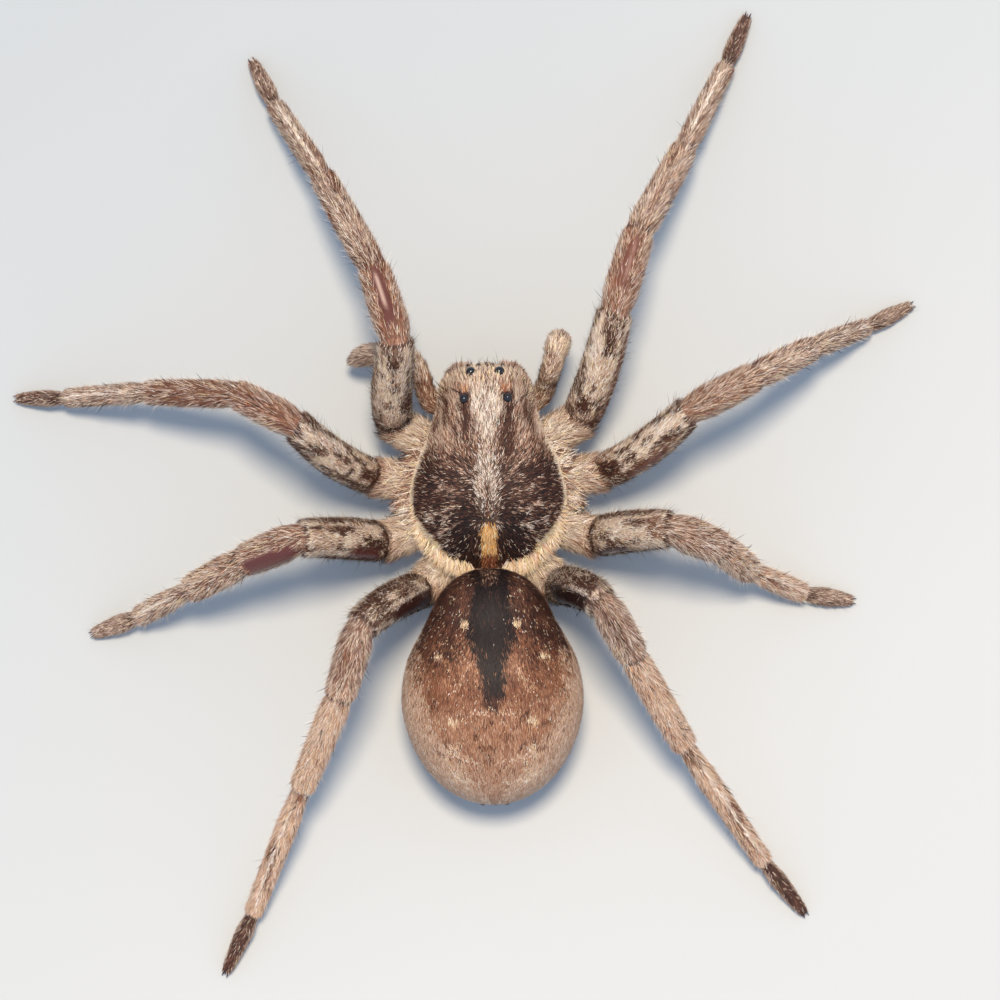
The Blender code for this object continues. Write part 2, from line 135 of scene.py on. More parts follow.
def roundTube(centres, first, second, radius, columns):
    # rings of points round a line: centre + radius (first cos a + second sin a)
    angle = fullTurn(columns)[None, :, None]
    return centres + (first * np.cos(angle) + second * np.sin(angle)) * radius


def noise(points, size, seed):
    # value noise from 0 to 1: random numbers at the corners of cells of that size, eased between
    cell = np.asarray(points, float) / size
    base = np.floor(cell).astype(np.int64)
    f = cell - base
    f = f * f * (3 - 2 * f)
    total = 0.0
    for corner in range(8):
        step = np.array([(corner >> k) & 1 for k in range(3)])
        key = ((base + step) * np.array([73856093, 19349663, 83492791])).sum(-1) + seed * 7919
        key = (key ^ (key >> 13)) * 1274126177 & 0x7FFFFFFF
        value = ((key ^ (key >> 16)) & 0xFFFF) / 65535.0
        total = total + value * np.where(step, f, 1 - f).prod(-1)
    return total


def paint(red, green, blue):
    # linear light of a colour given from 0 to 255
    c = np.array([red, green, blue]) / 255
    return np.where(c <= 0.04045, c / 12.92, ((c + 0.055) / 1.055) ** 2.4)


# The hairs' colours. Every surface says how much of each it has at each place.
hairs = {
    "white": paint(244, 228, 214),
    "pale": paint(224, 200, 180),
    "cream": paint(232, 208, 166),
    "peach": paint(224, 186, 156),
    "beige": paint(186, 150, 128),
    "tan": paint(192, 142, 110),
    "sienna": paint(128, 84, 60),
    "honey": paint(164, 119, 92),
    "sand": paint(196, 161, 136),
    "ash": paint(172, 151, 136),
    "mouse": paint(112, 90, 78),
    "brown": paint(122, 84, 66),
    "umber": paint(76, 48, 38),
    "black": paint(32, 23, 22),
    "rust": paint(132, 76, 54),
    "gold": paint(222, 160, 84),
}
bareRed = paint(92, 44, 36)  # skin without hairs, where a piece doesn't say
hairNames = list(hairs)
hairColours = np.array([hairs[name] for name in hairNames])


def shares(like, **given):
    # a grid of hair shares, one layer per colour, each made of numbers or grids, summing to 1
    layers = [np.broadcast_to(np.asarray(given.get(name, 0.0), float), like.shape) for name in hairNames]
    mixed = np.stack(layers, axis=-1).clip(0)
    return mixed / mixed.sum(-1, keepdims=True).clip(1e-6)


def over(under, mask, **given):
    # lays another mix over a mix of hairs: (1 - mask) of the old one, mask of the new one
    mask = np.clip(mask, 0, 1)[..., None]
    return under * (1 - mask) + shares(under[..., 0], **given) * mask


def gridFaces(rows, columns, wrapped):
    # quads between neighbours on a grid counted row by row, round the back too if it is wrapped
    i, j = np.meshgrid(np.arange(rows - 1), np.arange(columns - (not wrapped)), indexing="ij")
    k = (j + 1) % columns
    quads = [i * columns + j, (i + 1) * columns + j, (i + 1) * columns + k, i * columns + k]
    return np.stack(quads, axis=-1).reshape(-1, 4)


def closedTube(rings):
    # rings of points, the last one the same as the first, closed by a pole at each end
    rings = rings[:, :-1]
    rows, columns = rings.shape[:2]
    j = np.arange(columns)
    k = (j + 1) % columns
    poles = np.stack([rings[0].mean(0), rings[-1].mean(0)])
    last = (rows - 1) * columns
    fans = np.concatenate([
        np.stack([j, k, np.full(columns, rows * columns)], -1),
        np.stack([last + k, last + j, np.full(columns, rows * columns + 1)], -1),
    ])
    points = np.concatenate([rings.reshape(-1, rings.shape[-1]), poles])
    return points, [gridFaces(rows, columns, True), fans]


def makeObject(name, points, faces, fields=None, finish=None, smooth=True):
    # a mesh object from points in mm and arrays of faces; turned outwards if its volume is below 0
    volume = sum(
        np.einsum("ij,ij->", points[f[:, 0]], np.cross(points[f[:, k]], points[f[:, k + 1]]))
        for f in faces for k in range(1, f.shape[1] - 1)
    )
    if volume < 0:
        faces = [f[:, ::-1] for f in faces]
    mesh = bpy.data.meshes.new(name)
    mesh.vertices.add(len(points))
    mesh.vertices.foreach_set("co", (points * mm).astype(np.float32).ravel())
    corners = np.concatenate([f.ravel() for f in faces]).astype(np.int32)
    sizes = np.concatenate([np.full(len(f), f.shape[1]) for f in faces])
    mesh.loops.add(len(corners))
    mesh.loops.foreach_set("vertex_index", corners)
    mesh.polygons.add(len(sizes))
    mesh.polygons.foreach_set("loop_start", (np.cumsum(sizes) - sizes).astype(np.int32))
    mesh.update(calc_edges=True)
    for label, values in (fields or {}).items():
        giveField(mesh, label, values)
    if smooth:
        mesh.shade_smooth()
    if finish is not None:
        mesh.materials.append(finish)
    made = bpy.data.objects.new(name, mesh)
    bpy.context.scene.collection.objects.link(made)
    return made


def giveField(mesh, label, values):
    # a number, a place or a colour at each point of the mesh
    kind, key = ("FLOAT", "value") if values.ndim == 1 else ("FLOAT_VECTOR", "vector")
    if label == "tone":
        kind, key = "FLOAT_COLOR", "color"
        values = np.column_stack([values, np.ones(len(values))])
    layer = mesh.attributes.new(label, kind, "POINT")
    layer.data.foreach_set(key, values.astype(np.float32).ravel())


def withPoles(grid):
    # the values of closedTube's points, from a grid of values
    grid = grid[:, :-1]
    flat = grid.reshape(-1, *grid.shape[2:])
    return np.concatenate([flat, grid[:1].mean(1), grid[-1:].mean(1)])


def surface(points, hairShares, lie, length=1.0, density=1.0, bare=0.0, grain=None, bareTone=bareRed):
    # a grid of points with what grows on it: normals, the coat's lie, length and density, and the
    # grain, which is a place in mm whose first number runs along the coat
    first, second = np.gradient(points, axis=0), np.gradient(points, axis=1)
    normals = unit(np.cross(first, second))
    middle = points.reshape(-1, 3).mean(0)
    if np.einsum("ijk,ijk->", points - middle, normals) < 0:
        normals = -normals
    like = points[..., 0]
    full = [np.broadcast_to(np.asarray(value, float), like.shape).copy()
            for value in (length, density, bare)]
    if grain is None:
        grain = points[..., [1, 0, 2]]
    return {"points": points, "normals": normals, "shares": hairShares, "lie": lie, "grain": grain,
            "length": full[0], "density": full[1], "bare": full[2], "bareTone": bareTone + 0 * points}


def read(grid, i, j):
    # a grid's value at broken row and column numbers, straight between its four neighbours
    a, b = np.floor(i).astype(int), np.floor(j).astype(int)
    a, b = np.clip(a, 0, grid.shape[0] - 2), np.clip(b, 0, grid.shape[1] - 2)
    s, t = (i - a), (j - b)
    if grid.ndim == 3:
        s, t = s[:, None], t[:, None]
    low = grid[a, b] * (1 - s) + grid[a + 1, b] * s
    high = grid[a, b + 1] * (1 - s) + grid[a + 1, b + 1] * s
    return low * (1 - t) + high * t


def scatter(ground, count):
    # random row and column numbers on a surface, as many per area as its density asks
    points = ground["points"]
    across = points[1:, 1:] - points[:-1, :-1]
    other = points[1:, :-1] - points[:-1, 1:]
    area = np.linalg.norm(np.cross(across, other), axis=-1) / 2
    thick = ground["density"] * (1 - ground["bare"])
    weight = (area * (thick[1:, 1:] + thick[:-1, :-1]) / 2).ravel().clip(0)
    picked = dice.choice(weight.size, count, p=weight / weight.sum())
    i, j = np.divmod(picked, points.shape[1] - 1)
    return i + dice.random(count), j + dice.random(count)


def pickHairs(mix, roots, clump):
    # one colour for each root: the mix's running sum against a number that is even over all roots
    # and close to its neighbours' as far as clump says
    near = noise(roots, 0.22, 5) * clump + dice.random(len(roots)) * (1 - clump)
    level = np.empty(len(roots))
    level[np.argsort(near)] = (np.arange(len(roots)) + 0.5) / len(roots)
    kind = (level[:, None] > np.cumsum(mix, axis=1)).sum(1).clip(0, len(hairNames) - 1)
    return hairColours[kind]


# Tufts. Corners are (share of the length, widths across, widths up), each with its place on the
# tuft's patch of the UV map, its painted shade (darker at the root, where the hairs shade each other,
# and a little lighter at the tip, where the light reaches), and how far it faces sideways.
tufts = {
    # what a coat that doesn't say has
    "plain": {"strays": 0.0, "droop": 0.0, "vary": 0.16, "fluffy": 0.0, "depth": 1.0},
    "straight": {
        "corners": ((0, -0.5, -0.15), (0, 0.5, -0.15), (0.14, 0, 0.24), (1, 0, 0)),
        "faces": ((0, 2, 1), (0, 1, 3), (1, 2, 3), (2, 0, 3)),
        "patch": ((0, 0), (1, 0), (0.5, 0.35), (0.5, 1)),
        "shade": (0.66, 0.66, 0.84, 1.1),
        "sideways": (-0.5, 0.5, 0, 0),
    },
    "drooping": {
        "corners": ((0, -0.5, -0.15), (0, 0.5, -0.15), (0, 0, 0.2), (0.5, -0.36, -0.1), (0.5, 0.36, -0.1),
                    (0.5, 0, 0.18), (1, 0, 0)),
        "faces": ((0, 2, 1), (0, 1, 4), (0, 4, 3), (1, 2, 5), (1, 5, 4), (2, 0, 3), (2, 3, 5), (3, 4, 6),
                  (4, 5, 6), (5, 3, 6)),
        "patch": ((0, 0), (1, 0), (0.5, 0.15), (0.1, 0.5), (0.9, 0.5), (0.5, 0.6), (0.5, 1)),
        "shade": (0.66, 0.66, 0.66, 1.0, 1.0, 1.0, 1.1),
        "sideways": (-0.5, 0.5, 0, -0.5, 0.5, 0, 0),
    },
    "liftSpread": 0.35,  # as part of the lift
    "liftLimits": (3, 80),
    "lengths": (0.7, 1.3),
    "widths": (0.75, 1.25),
    "strayLifts": (26, 58),
    "strayLength": 0.9,
    "strayWidth": 0.6,
    "strayHairShare": 0.7,  # of the strays, which take the coat's strayHair
    "tint": 0.03,
    "lowest": 0.01,  # over the floor
    "patchSize": 0.003,
}


def growCoat(name, ground, look, finish, keep=None):
    # tufts on a surface: each is a spike on a three-cornered foot, and its middle line is
    # root + L (lie s cos a + n (s sin a - droop s^2))
    look = {**tufts["plain"], **look}
    i, j = scatter(ground, look["count"])
    roots, normals = read(ground["points"], i, j), unit(read(ground["normals"], i, j))
    if keep is not None:
        kept = keep(roots)
        i, j, roots, normals = i[kept], j[kept], roots[kept], normals[kept]
    count = len(roots)
    lie = read(ground["lie"], i, j)
    lie = unit(lie - normals * (lie * normals).sum(1, keepdims=True))
    side = np.cross(normals, lie)
    yaw = np.radians(dice.normal(0, look["yaw"], count))[:, None]
    lie, side = lie * np.cos(yaw) + side * np.sin(yaw), side * np.cos(yaw) - lie * np.sin(yaw)
    stray = dice.random(count) < look["strays"]
    strayLift = dice.uniform(*tufts["strayLifts"], count)
    lift = dice.normal(look["lift"], look["lift"] * tufts["liftSpread"], count)
    lift = np.radians(np.where(stray, strayLift, lift).clip(*tufts["liftLimits"]))[:, None]
    length = look["length"] * read(ground["length"], i, j) * dice.uniform(*tufts["lengths"], count)
    length = (length * np.where(stray, tufts["strayLength"], 1.0))[:, None]
    width = look["width"] * dice.uniform(*tufts["widths"], count)[:, None]
    width = width * np.where(stray, tufts["strayWidth"], 1.0)[:, None]

    def at(share, across, rise):
        # a corner of every tuft: share of its length, widths across and up
        height = share * np.sin(lift) - look["droop"] * share**2
        spot = roots + length * (lie * share * np.cos(lift) + normals * height)
        return spot + side * across * width + normals * rise * width

    shape = tufts["drooping" if look["droop"] else "straight"]
    points = np.stack([at(*corner) for corner in shape["corners"]], axis=1)
    points[..., 2] = points[..., 2].clip(tufts["lowest"])
    faces = (np.arange(count)[:, None, None] * points.shape[1] + np.array(shape["faces"])).reshape(-1, 3)
    colour = pickHairs(read(ground["shares"], i, j), roots, look["clump"])
    if "strayHair" in look:
        paler = stray & (dice.random(count) < tufts["strayHairShare"])
        colour[paler] = hairs[look["strayHair"]]
    colour = colour * np.exp(dice.normal(0, look["vary"], (count, 1)))
    colour = colour * (1 + dice.normal(0, tufts["tint"], (count, 3)))
    # painted shade: each tuft darker at its root and a little lighter at its tip, as far as the coat's
    # depth says
    shade = 1 + (np.array(shape["shade"]) - 1) * look["depth"]
    tone = (colour[:, None, :] * shade[:, None]).clip(0, 1)
    # shaded as the skin below it, a little rounded across
    turned = normals * (0.6 + 0.4 * np.cos(lift)) - lie * 0.4 * np.sin(lift)
    turned = turned + up * look["fluffy"]
    soft = unit(turned[:, None] + side[:, None] * np.array(shape["sideways"])[:, None] * 0.8)
    fields = {"tone": tone.reshape(-1, 3), "custom_normal": soft.reshape(-1, 3)}
    made = makeObject(name, points.reshape(-1, 3), [faces], fields, finish)
    place = np.stack([i / (ground["points"].shape[0] - 1), j / (ground["points"].shape[1] - 1)], axis=-1)
    spread = place[:, None] * (1 - tufts["patchSize"]) + np.array(shape["patch"]) * tufts["patchSize"]
    layer = made.data.uv_layers.new(name="OFBake")
    order = np.empty(len(made.data.loops), np.int32)
    made.data.loops.foreach_get("vertex_index", order)
    layer.data.foreach_set("uv", spread.reshape(-1, 2)[order].astype(np.float32).ravel())
    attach(made, "root")
    print("coat", name, count, "tufts,", len(faces), "triangles")
    return made


class Socket:
    # an output of a material's nodes; +, - and * on it add a Math node
    def __init__(self, tree, out=None):
        self.tree, self.out = tree, out

    def node(self, kind, settings=None, inputs=None, output=0):
        # a node of any kind: its settings first, then the values or links of its sockets
        made = self.tree.nodes.new(kind)
        for name, value in (settings or {}).items():
            if name == "stops":
                for k, (place, colour) in enumerate(value):
                    stop = made.color_ramp.elements[k] if k < 2 else made.color_ramp.elements.new(place)
                    stop.position, stop.color = place, (*colour, 1)
            else:
                setattr(made, name, value)
        for name, value in (inputs or {}).items():
            if isinstance(value, Socket):
                self.tree.links.new(value.out, made.inputs[name])
            else:
                made.inputs[name].default_value = value
        return Socket(self.tree, made.outputs[output])

    def maths(self, operation, first, second):
        return self.node("ShaderNodeMath", {"operation": operation}, {0: first, 1: second})

    def __add__(self, other):
        return self.maths("ADD", self, other)

    def __sub__(self, other):
        return self.maths("SUBTRACT", self, other)

    def __rsub__(self, other):
        return self.maths("SUBTRACT", other, self)

    def __mul__(self, other):
        return self.maths("MULTIPLY", self, other)

    __radd__, __rmul__ = __add__, __mul__

    def mixColour(self, first, second, how="MIX"):
        # first where this is 0, second where it is 1
        settings = {"data_type": "RGBA", "blend_type": how}
        return self.node("ShaderNodeMix", settings, {0: self, 6: first, 7: second}, 2)


def newMaterial(name, **fixed):
    # an empty material: its shader with the fixed values, and a first socket to build from
    made = bpy.data.materials.new(name)
    made.use_nodes = True
    shader = made.node_tree.nodes["Principled BSDF"]
    for label, value in fixed.items():
        shader.inputs[label.replace("_", " ")].default_value = value
    return made, shader, Socket(made.node_tree)


def plug(shader, label, socket):
    # what varies over a surface goes into the shader
    socket.tree.links.new(socket.out, shader.inputs[label])


def inMillimetres(start):
    # Object coordinates in mm
    place = start.node("ShaderNodeTexCoord", output="Object")
    return start.node("ShaderNodeVectorMath", {"operation": "SCALE"}, {0: place, "Scale": 1 / mm})


def fieldOf(start, label, output):
    # what giveField gave the mesh
    return start.node("ShaderNodeAttribute", {"attribute_name": label}, output=output)


def mottle(place, scale, detail=2.0):
    # soft spots, about so many to a mm
    return place.node("ShaderNodeTexNoise", None, {"Vector": place, "Scale": scale, "Detail": detail})


def bumps(height, distance):
    # a normal for a surface that is distance mm higher where height is 1
    inputs = {"Strength": 1.0, "Distance": distance * mm, "Height": height}
    return height.node("ShaderNodeBump", None, inputs)


def hairFinish(name, roughness):
    # each tuft's own tone, warmer and paler in soft clouds
    made, shader, start = newMaterial(name, Roughness=roughness, Specular_IOR_Level=0.22)
    tone = fieldOf(start, "tone", "Color")
    place = inMillimetres(start)
    clouds = mottle(place, 1.3)
    plug(shader, "Base Color", (clouds * 0.5).mixColour(tone, (0.62, 0.5, 0.42, 1), "SOFT_LIGHT"))
    return made


def cuticleFinish(name, roughness, polish, grain):
    # skin: the hairs' own mean colour, darker, rough under the coat and polished where it is bare
    made, shader, start = newMaterial(name, Specular_IOR_Level=0.5)
    tone = fieldOf(start, "tone", "Color")
    bare = fieldOf(start, "bare", "Fac")
    place = inMillimetres(start)
    fine, wide = mottle(place, grain, 3.0), mottle(place, 1.1)
    along = fieldOf(start, "grain", "Vector")
    along = start.node("ShaderNodeMapping", None, {"Vector": along, "Scale": (1.7, 15.0, 15.0)})
    strokes = mottle(along, 1.0)
    strokes = strokes.node("ShaderNodeMapRange", None, {"Value": strokes, "From Min": 0.3, "From Max": 0.7})
    furry = 1 - bare
    streaked = (strokes * furry).mixColour(tone, (1.0, 0.9, 0.8, 1), "OVERLAY")
    clouded = (wide * 0.8 + fine * 0.3 - 0.15).mixColour(streaked, (0.35, 0.25, 0.2, 1), "SOFT_LIGHT")
    plug(shader, "Base Color", clouded)
    plug(shader, "Roughness", bare * (polish - roughness) + roughness + fine * 0.12)
    plug(shader, "Normal", bumps(fine * (1 - bare * 0.85) * 0.4 + strokes * furry * 0.8, 0.05))
    return made


hairCoat = hairFinish("short_hair", 0.52)
cuticle = cuticleFinish("cuticle", 0.55, 0.2, 9.0)


# How dark the skin is under each coat, as part of the hairs' own colour.
skinShade = {"carapace": 0.3, "carapaceEdge": 0.8, "abdomen": 0.5, "leg": 0.55, "palp": 0.42, "flanks": 0.5,
             "waist": 0.4, "spinneret": 0.5, "jaw": 0.35, "sternum": 0.45}


def skinFields(ground, shade):
    # tone: the mean hair, shaded, or the bare skin's own colour; bare and grain as they are
    mean = ground["shares"] @ hairColours
    bare = ground["bare"][..., None]
    tone = mean * shade * (1 - bare) + ground["bareTone"] * bare
    return {"tone": withPoles(tone), "bare": withPoles(ground["bare"]), "grain": withPoles(ground["grain"])}


# Carapace: half width and top along the body over a flat underside, as far as the coat's tips.
carapace = {
    "front": -9.8,
    "rear": 0.4,
    "base": 4.45,
    "raise": 0.03,  # of the skin over the solid's base
    "belly": 0.1,  # how far the underside hangs below that
    "capRings": (0.75, 0.45, 0.15),  # sizes of the rings that round each end off
    "capBulge": 0.12,
    "halfWidth": ((-9.8, 0.8), (-9.6, 1.4), (-9.2, 1.95), (-8.7, 2.3), (-7.6, 2.46), (-6.2, 2.9),
                  (-4.7, 3.53), (-3.25, 3.86), (-1.8, 3.6), (-0.8, 3.03), (0.0, 2.33), (0.4, 1.58)),
    "top": ((-9.8, 5.3), (-9.5, 6.75), (-9.0, 7.3), (-8.0, 7.55), (-6.0, 7.5), (-3.6, 7.3),
            (-1.8, 6.75), (-0.6, 5.9), (0.4, 4.95)),
    "squareness": ((-8.5, 2.8), (-4.5, 2.15)),
    "coatDepth": 0.13,
    "rows": 150,
    "columns": 168,
    "fovea": -2.7,
    "foveaLine": (-4.6, -1.9),  # the coat parts along it
    "foveaDepth": 0.16,
    "grooveDepth": 0.09,
    "furrows": (-22, 8, 38),  # degrees, round the fovea from straight out to the side
    "furrowDepth": 0.06,
    "streaks": ((-50, 1.0, 3.2), (-24, 1.0, 3.0), (2, 1.2, 3.3), (30, 1.4, 3.2)),  # degrees, start, end
    "bandHalfWidth": ((-9.8, 0.75), (-8.8, 0.72), (-7.6, 0.7), (-6.8, 0.58), (-5.6, 0.36), (-4.6, 0.42),
                      (-3.6, 0.46), (-2.6, 0.32), (-1.9, 0.26), (0.4, 0.26)),
    "bareSkin": (58, 32, 28),
}


def carapaceRings(inset):
    # rings square to the body: x = w cos a, z = base + h sin a, both to the power 2 / squareness,
    # with the lower half flattened
    c = carapace
    turn = poleToPole(c["rows"])
    angle = fullTurn(c["columns"], below)[None, :]
    middle, half = (c["rear"] + c["front"]) / 2, (c["rear"] - c["front"]) / 2
    y = middle - half * np.cos(turn)
    power = 2 / curve(c["squareness"], y)
    width = curve(c["halfWidth"], y) - inset
    rise = curve(c["top"], y) - c["base"] - inset
    x = width * signedPower(np.cos(angle), power)
    above = rise * np.abs(np.sin(angle)) ** power
    z = c["base"] + np.where(np.sin(angle) > 0, above, -c["belly"] * np.abs(np.sin(angle))) + c["raise"]
    y = middle - (half - inset) * np.cos(turn)
    rings = gridOf(x, y, z)
    cap = np.array(c["capRings"])[:, None, None]
    ends = []
    for edge, sign in ((rings[0], -1), (rings[-1], 1)):
        centre = edge.mean(0)
        ends.append(centre + (edge - centre) * cap + backwards * sign * c["capBulge"] * np.sqrt(1 - cap**2))
    return np.concatenate([ends[0][::-1], rings, ends[1]])


def eyeList():
    # centre, radius and name of each eye, from its solid
    found = []
    for name in sorted(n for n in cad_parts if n.startswith("eye_")):
        low, high = boxOf(name)
        found.append((name, (low + high) / 2, (high - low).max() / 2))
    return found


def radialLie(points):
    # away from the nearest place on the fovea's line, more and more straight forward on the head,
    # and turned back along the edge
    c = carapace
    place = points - waist
    nearest = np.clip(place[..., 1], *c["foveaLine"])
    fromFovea = np.stack([place[..., 0], place[..., 1] - nearest, 0.35 * (place[..., 2] - 7.4)], axis=-1)
    forward = ease(-3.6, -6.4, place[..., 1])[..., None]
    middle = hump(place[..., 0], 0, 0.6)[..., None] * ease(-1.8, -2.4, place[..., 1])[..., None]
    behind = hump(place[..., 0], 0, 0.7)[..., None] * ease(-2.1, -1.7, place[..., 1])[..., None]
    lie = unit(fromFovea) + np.array([0.0, -1.0, 0.05]) * (2.5 * forward + 2.5 * middle)
    lie = lie + backwards * 2.5 * behind
    edge = ease(0.45, 0.05, curve(c["halfWidth"], place[..., 1]) - np.abs(place[..., 0]))
    edge = edge * ease(-6.6, -5.4, place[..., 1])
    return unit(unit(lie) + backwards * 0.9 * edge[..., None])


def carvedCarapace():
    # the rings with the slit of the fovea, the two grooves behind the head and three furrows to each
    # side pressed in; also each place's angle and distance from the fovea
    c = carapace
    place = carapaceRings(c["coatDepth"])
    x, y, z = np.moveaxis(place, -1, 0)
    slit = c["foveaDepth"] * hump(x, 0, 0.1) * hump(y, c["fovea"], 0.55)
    headGroove = c["grooveDepth"] * hump(np.abs(x) - 0.62 * (c["fovea"] - 0.6 - y), 0, 0.28)
    headGroove = headGroove * ease(-7.2, -6.2, y) * ease(-2.6, -3.6, y)
    angle = np.degrees(np.arctan2(y - c["fovea"], np.abs(x)))
    out = np.hypot(x, y - c["fovea"])
    furrow = sum(hump(angle, middle, 6) for middle in c["furrows"]) * c["furrowDepth"] * hump(out, 2.0, 0.9)
    place[..., 2] -= (slit + headGroove + furrow) * ease(4.7, 5.4, z)
    return place, angle, out


def carapaceMarks(place, angle, out):
    # the hairs: a pale middle band, dark bands beside it, cream edges, a golden spot in front of the
    # waist; also how far each place is in from the edge, and the masks of head, face, spot and edge line
    c = carapace
    points = place + waist
    x, y = place[..., 0], place[..., 1]
    wave = noise(points, 0.5, 3) - 0.5
    fine = noise(points, 0.16, 4) - 0.5
    side = np.abs(x)
    edge = curve(c["halfWidth"], y) - side
    head = ease(-5.2, -6.6, y)
    mix = shares(x, umber=0.46, black=0.38, brown=0.08, beige=0.06, pale=0.02)
    mix = over(mix, ease(-4.2, -5.6, y + wave) * 0.9, umber=0.3, brown=0.33, beige=0.22, pale=0.11,
               black=0.04)
    mix = over(mix, ease(-3.6, -1.6, y + wave) * hump(side, 1.3, 1.1), black=0.76, umber=0.2, pale=0.04)
    mix = over(mix, hump(y, -4.3, 1.0) * hump(side, 2.8, 0.55) * 0.85, black=0.56, umber=0.4, pale=0.04)
    # head: pale sides, a dark line behind and beside each rear eye
    mix = over(mix, head * ease(1.25, 1.6, side + wave * 0.4), beige=0.36, brown=0.26, pale=0.26,
               umber=0.12)
    strands = noise(points * np.array([3.4, 1.1, 1.0]), 0.8, 34)
    strands = strands * (1 - 0.6 * hump(side, 1.1, 0.45) * ease(-7.4, -7.7, y))
    mix = over(mix, head * ease(0.56, 0.7, strands) * 0.7, umber=0.65, mouse=0.35)
    mix = over(mix, head * ease(0.44, 0.3, strands) * 0.7, pale=0.5, ash=0.5)
    mix = over(mix, head * hump(side, 1.95, 0.2) * hump(y, -7.3, 0.8) * 0.6, umber=0.7, brown=0.3)
    longer = np.where(x < 0, -4.4, -5.2)
    behindEyes = hump(side, 1.02, 0.3 + 0.06 * (x < 0))
    behindEyes = behindEyes * ease(-7.9, -7.4, y) * ease(longer, longer - 1.2, y)
    mix = over(mix, behindEyes, umber=0.6, black=0.26, brown=0.14)
    # thin pale streaks that fan out from the fovea
    for middle, start, reach in c["streaks"]:
        wander = angle + (noise(points, 0.9, 8) - 0.5) * 16
        streak = hump(wander, middle, 2.6)
        streak = streak * ease(start, start + 0.5, out) * ease(reach + 0.3, reach - 0.6, out)
        mix = over(mix, streak * 0.5 * (1 - head), pale=0.34, beige=0.46, brown=0.2)
    flecks = ease(0.6, 0.74, noise(points, 0.24, 9)) * ease(-2.9, -2.0, y) * ease(1.5, 2.1, side)
    mix = over(mix, flecks * 0.6, white=0.5, pale=0.4, umber=0.1)
    # middle band
    bandHalf = curve(c["bandHalfWidth"], y)
    band = ease(bandHalf + 0.26, bandHalf - 0.14, side + fine * 0.5 + wave * 0.3)
    faded = hump(y, -5.7, 0.7) * 0.4 + hump(y, -8.8, 0.35) * 0.3 + ease(-3.3, -2.2, y) * 0.6
    faded = faded + 0.25 * ease(0.4, 0.7, noise(points, 0.3, 10)) + 0.4 * ease(-7.6, -9.0, y)
    mix = over(mix, band * (1 - faded).clip(0, 1), white=0.38, pale=0.22, ash=0.24, mouse=0.16)
    mix = over(mix, band * ease(0.6, 0.72, strands) * 0.6, mouse=0.7, umber=0.3)
    mix = over(mix, hump(side, 0, 0.09) * ease(-3.9, -3.5, y) * ease(-1.6, -2.2, y) * 0.8, brown=0.6,
               umber=0.4)
    spot = ease(0.4, 0.28, side + fine * 0.2) * ease(-2.1, -1.6, y) * ease(0.3, -0.05, y)
    mix = over(mix, spot, gold=0.54, cream=0.3, tan=0.1, rust=0.06)
    mix = over(mix, ease(0.5, 0.25, side) * ease(-0.6, -0.3, y), rust=0.44, tan=0.1, umber=0.46)
    # edges: a cream line from the shoulders back, broad and cream-yellow behind
    broad = 0.22 + 0.44 * ease(-2.6, -0.6, y)
    line = ease(broad + 0.08, broad - 0.04, edge + fine * 0.14) * ease(-6.6, -5.6, y)
    mix = over(mix, line, pale=0.32, white=0.26, cream=0.36, tan=0.06)
    mix = over(mix, ease(-2.2, -0.8, y) * line * 0.7, cream=0.8, gold=0.1, pale=0.1)
    face = ease(-8.9, -9.4, y)
    mix = over(mix, face * 0.85, beige=0.36, pale=0.3, brown=0.18, cream=0.16)
    return mix, edge, head, face, spot, line


def eyeSurrounds(points, mix):
    # bare dark rims round the eyes, and rust in front of each rear eye
    bare = np.zeros(points.shape[:2])
    for name, centre, radius in eyeList():
        away = np.linalg.norm(points - centre, axis=-1)
        rim = 1.4 if "rear" in name else 1.05
        bare = np.maximum(bare, ease(radius * (rim + 0.1), radius * (rim - 0.2), away))
        if "front" not in name:
            mix = over(mix, ease(radius * (rim + 0.3), radius * rim, away), black=0.5, umber=0.5)
        if "rear" in name:
            inwards = -math.copysign(0.1, centre[0] - waist[0])
            ahead = points - (centre + np.array([inwards, -0.36, 0.1]))
            rustSpot = np.exp(-((ahead / np.array([0.22, 0.16, 0.6])) ** 2).sum(-1))
            mix = over(mix, (rustSpot * 1.25).clip(0, 1), rust=0.6, tan=0.26, gold=0.14)
    return mix, bare


def makeCarapace():
    # the shell, and the ground for its coat: hair is short on the face, longer along the rear edge
    place, angle, out = carvedCarapace()
    mix, edge, head, face, spot, line = carapaceMarks(place, angle, out)
    points = place + waist
    x, y, z = np.moveaxis(place, -1, 0)
    mix, bare = eyeSurrounds(points, mix)
    length = 0.62 + 0.3 * head - 0.3 * face + 0.2 * line * ease(-3.0, -1.0, y) + 0.2 * spot
    length = length * (1 - 0.3 * hump(x, 0, 0.5) * ease(-4.6, -4.0, y) * ease(-1.7, -2.1, y))
    density = ease(4.42, 4.6, z) * (1 + 1.5 * ease(0.45, 0.1, edge) + 0.6 * spot)
    turn = np.radians(angle)
    grain = np.stack([out, np.cos(turn) * 3, np.sin(turn) * 3 * np.sign(x)], axis=-1)
    ground = surface(points, mix, radialLie(points), length, density, bare, grain,
                     paint(*carapace["bareSkin"]))
    shade = skinShade["carapace"] + (skinShade["carapaceEdge"] - skinShade["carapace"]) * line
    fields = skinFields(ground, shade[..., None])
    solid, faces = closedTube(points)
    shell = makeObject("carapace_shell", solid, faces, fields, cuticle)
    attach(shell, "root")
    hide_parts("carapace")
    ground["normals"] = unit(ground["normals"] + up * 0.9 * ease(0.5, 0.1, edge)[..., None]
                             * (z > 4.5)[..., None])
    return ground


carapaceGround = makeCarapace()
print("carapace made")

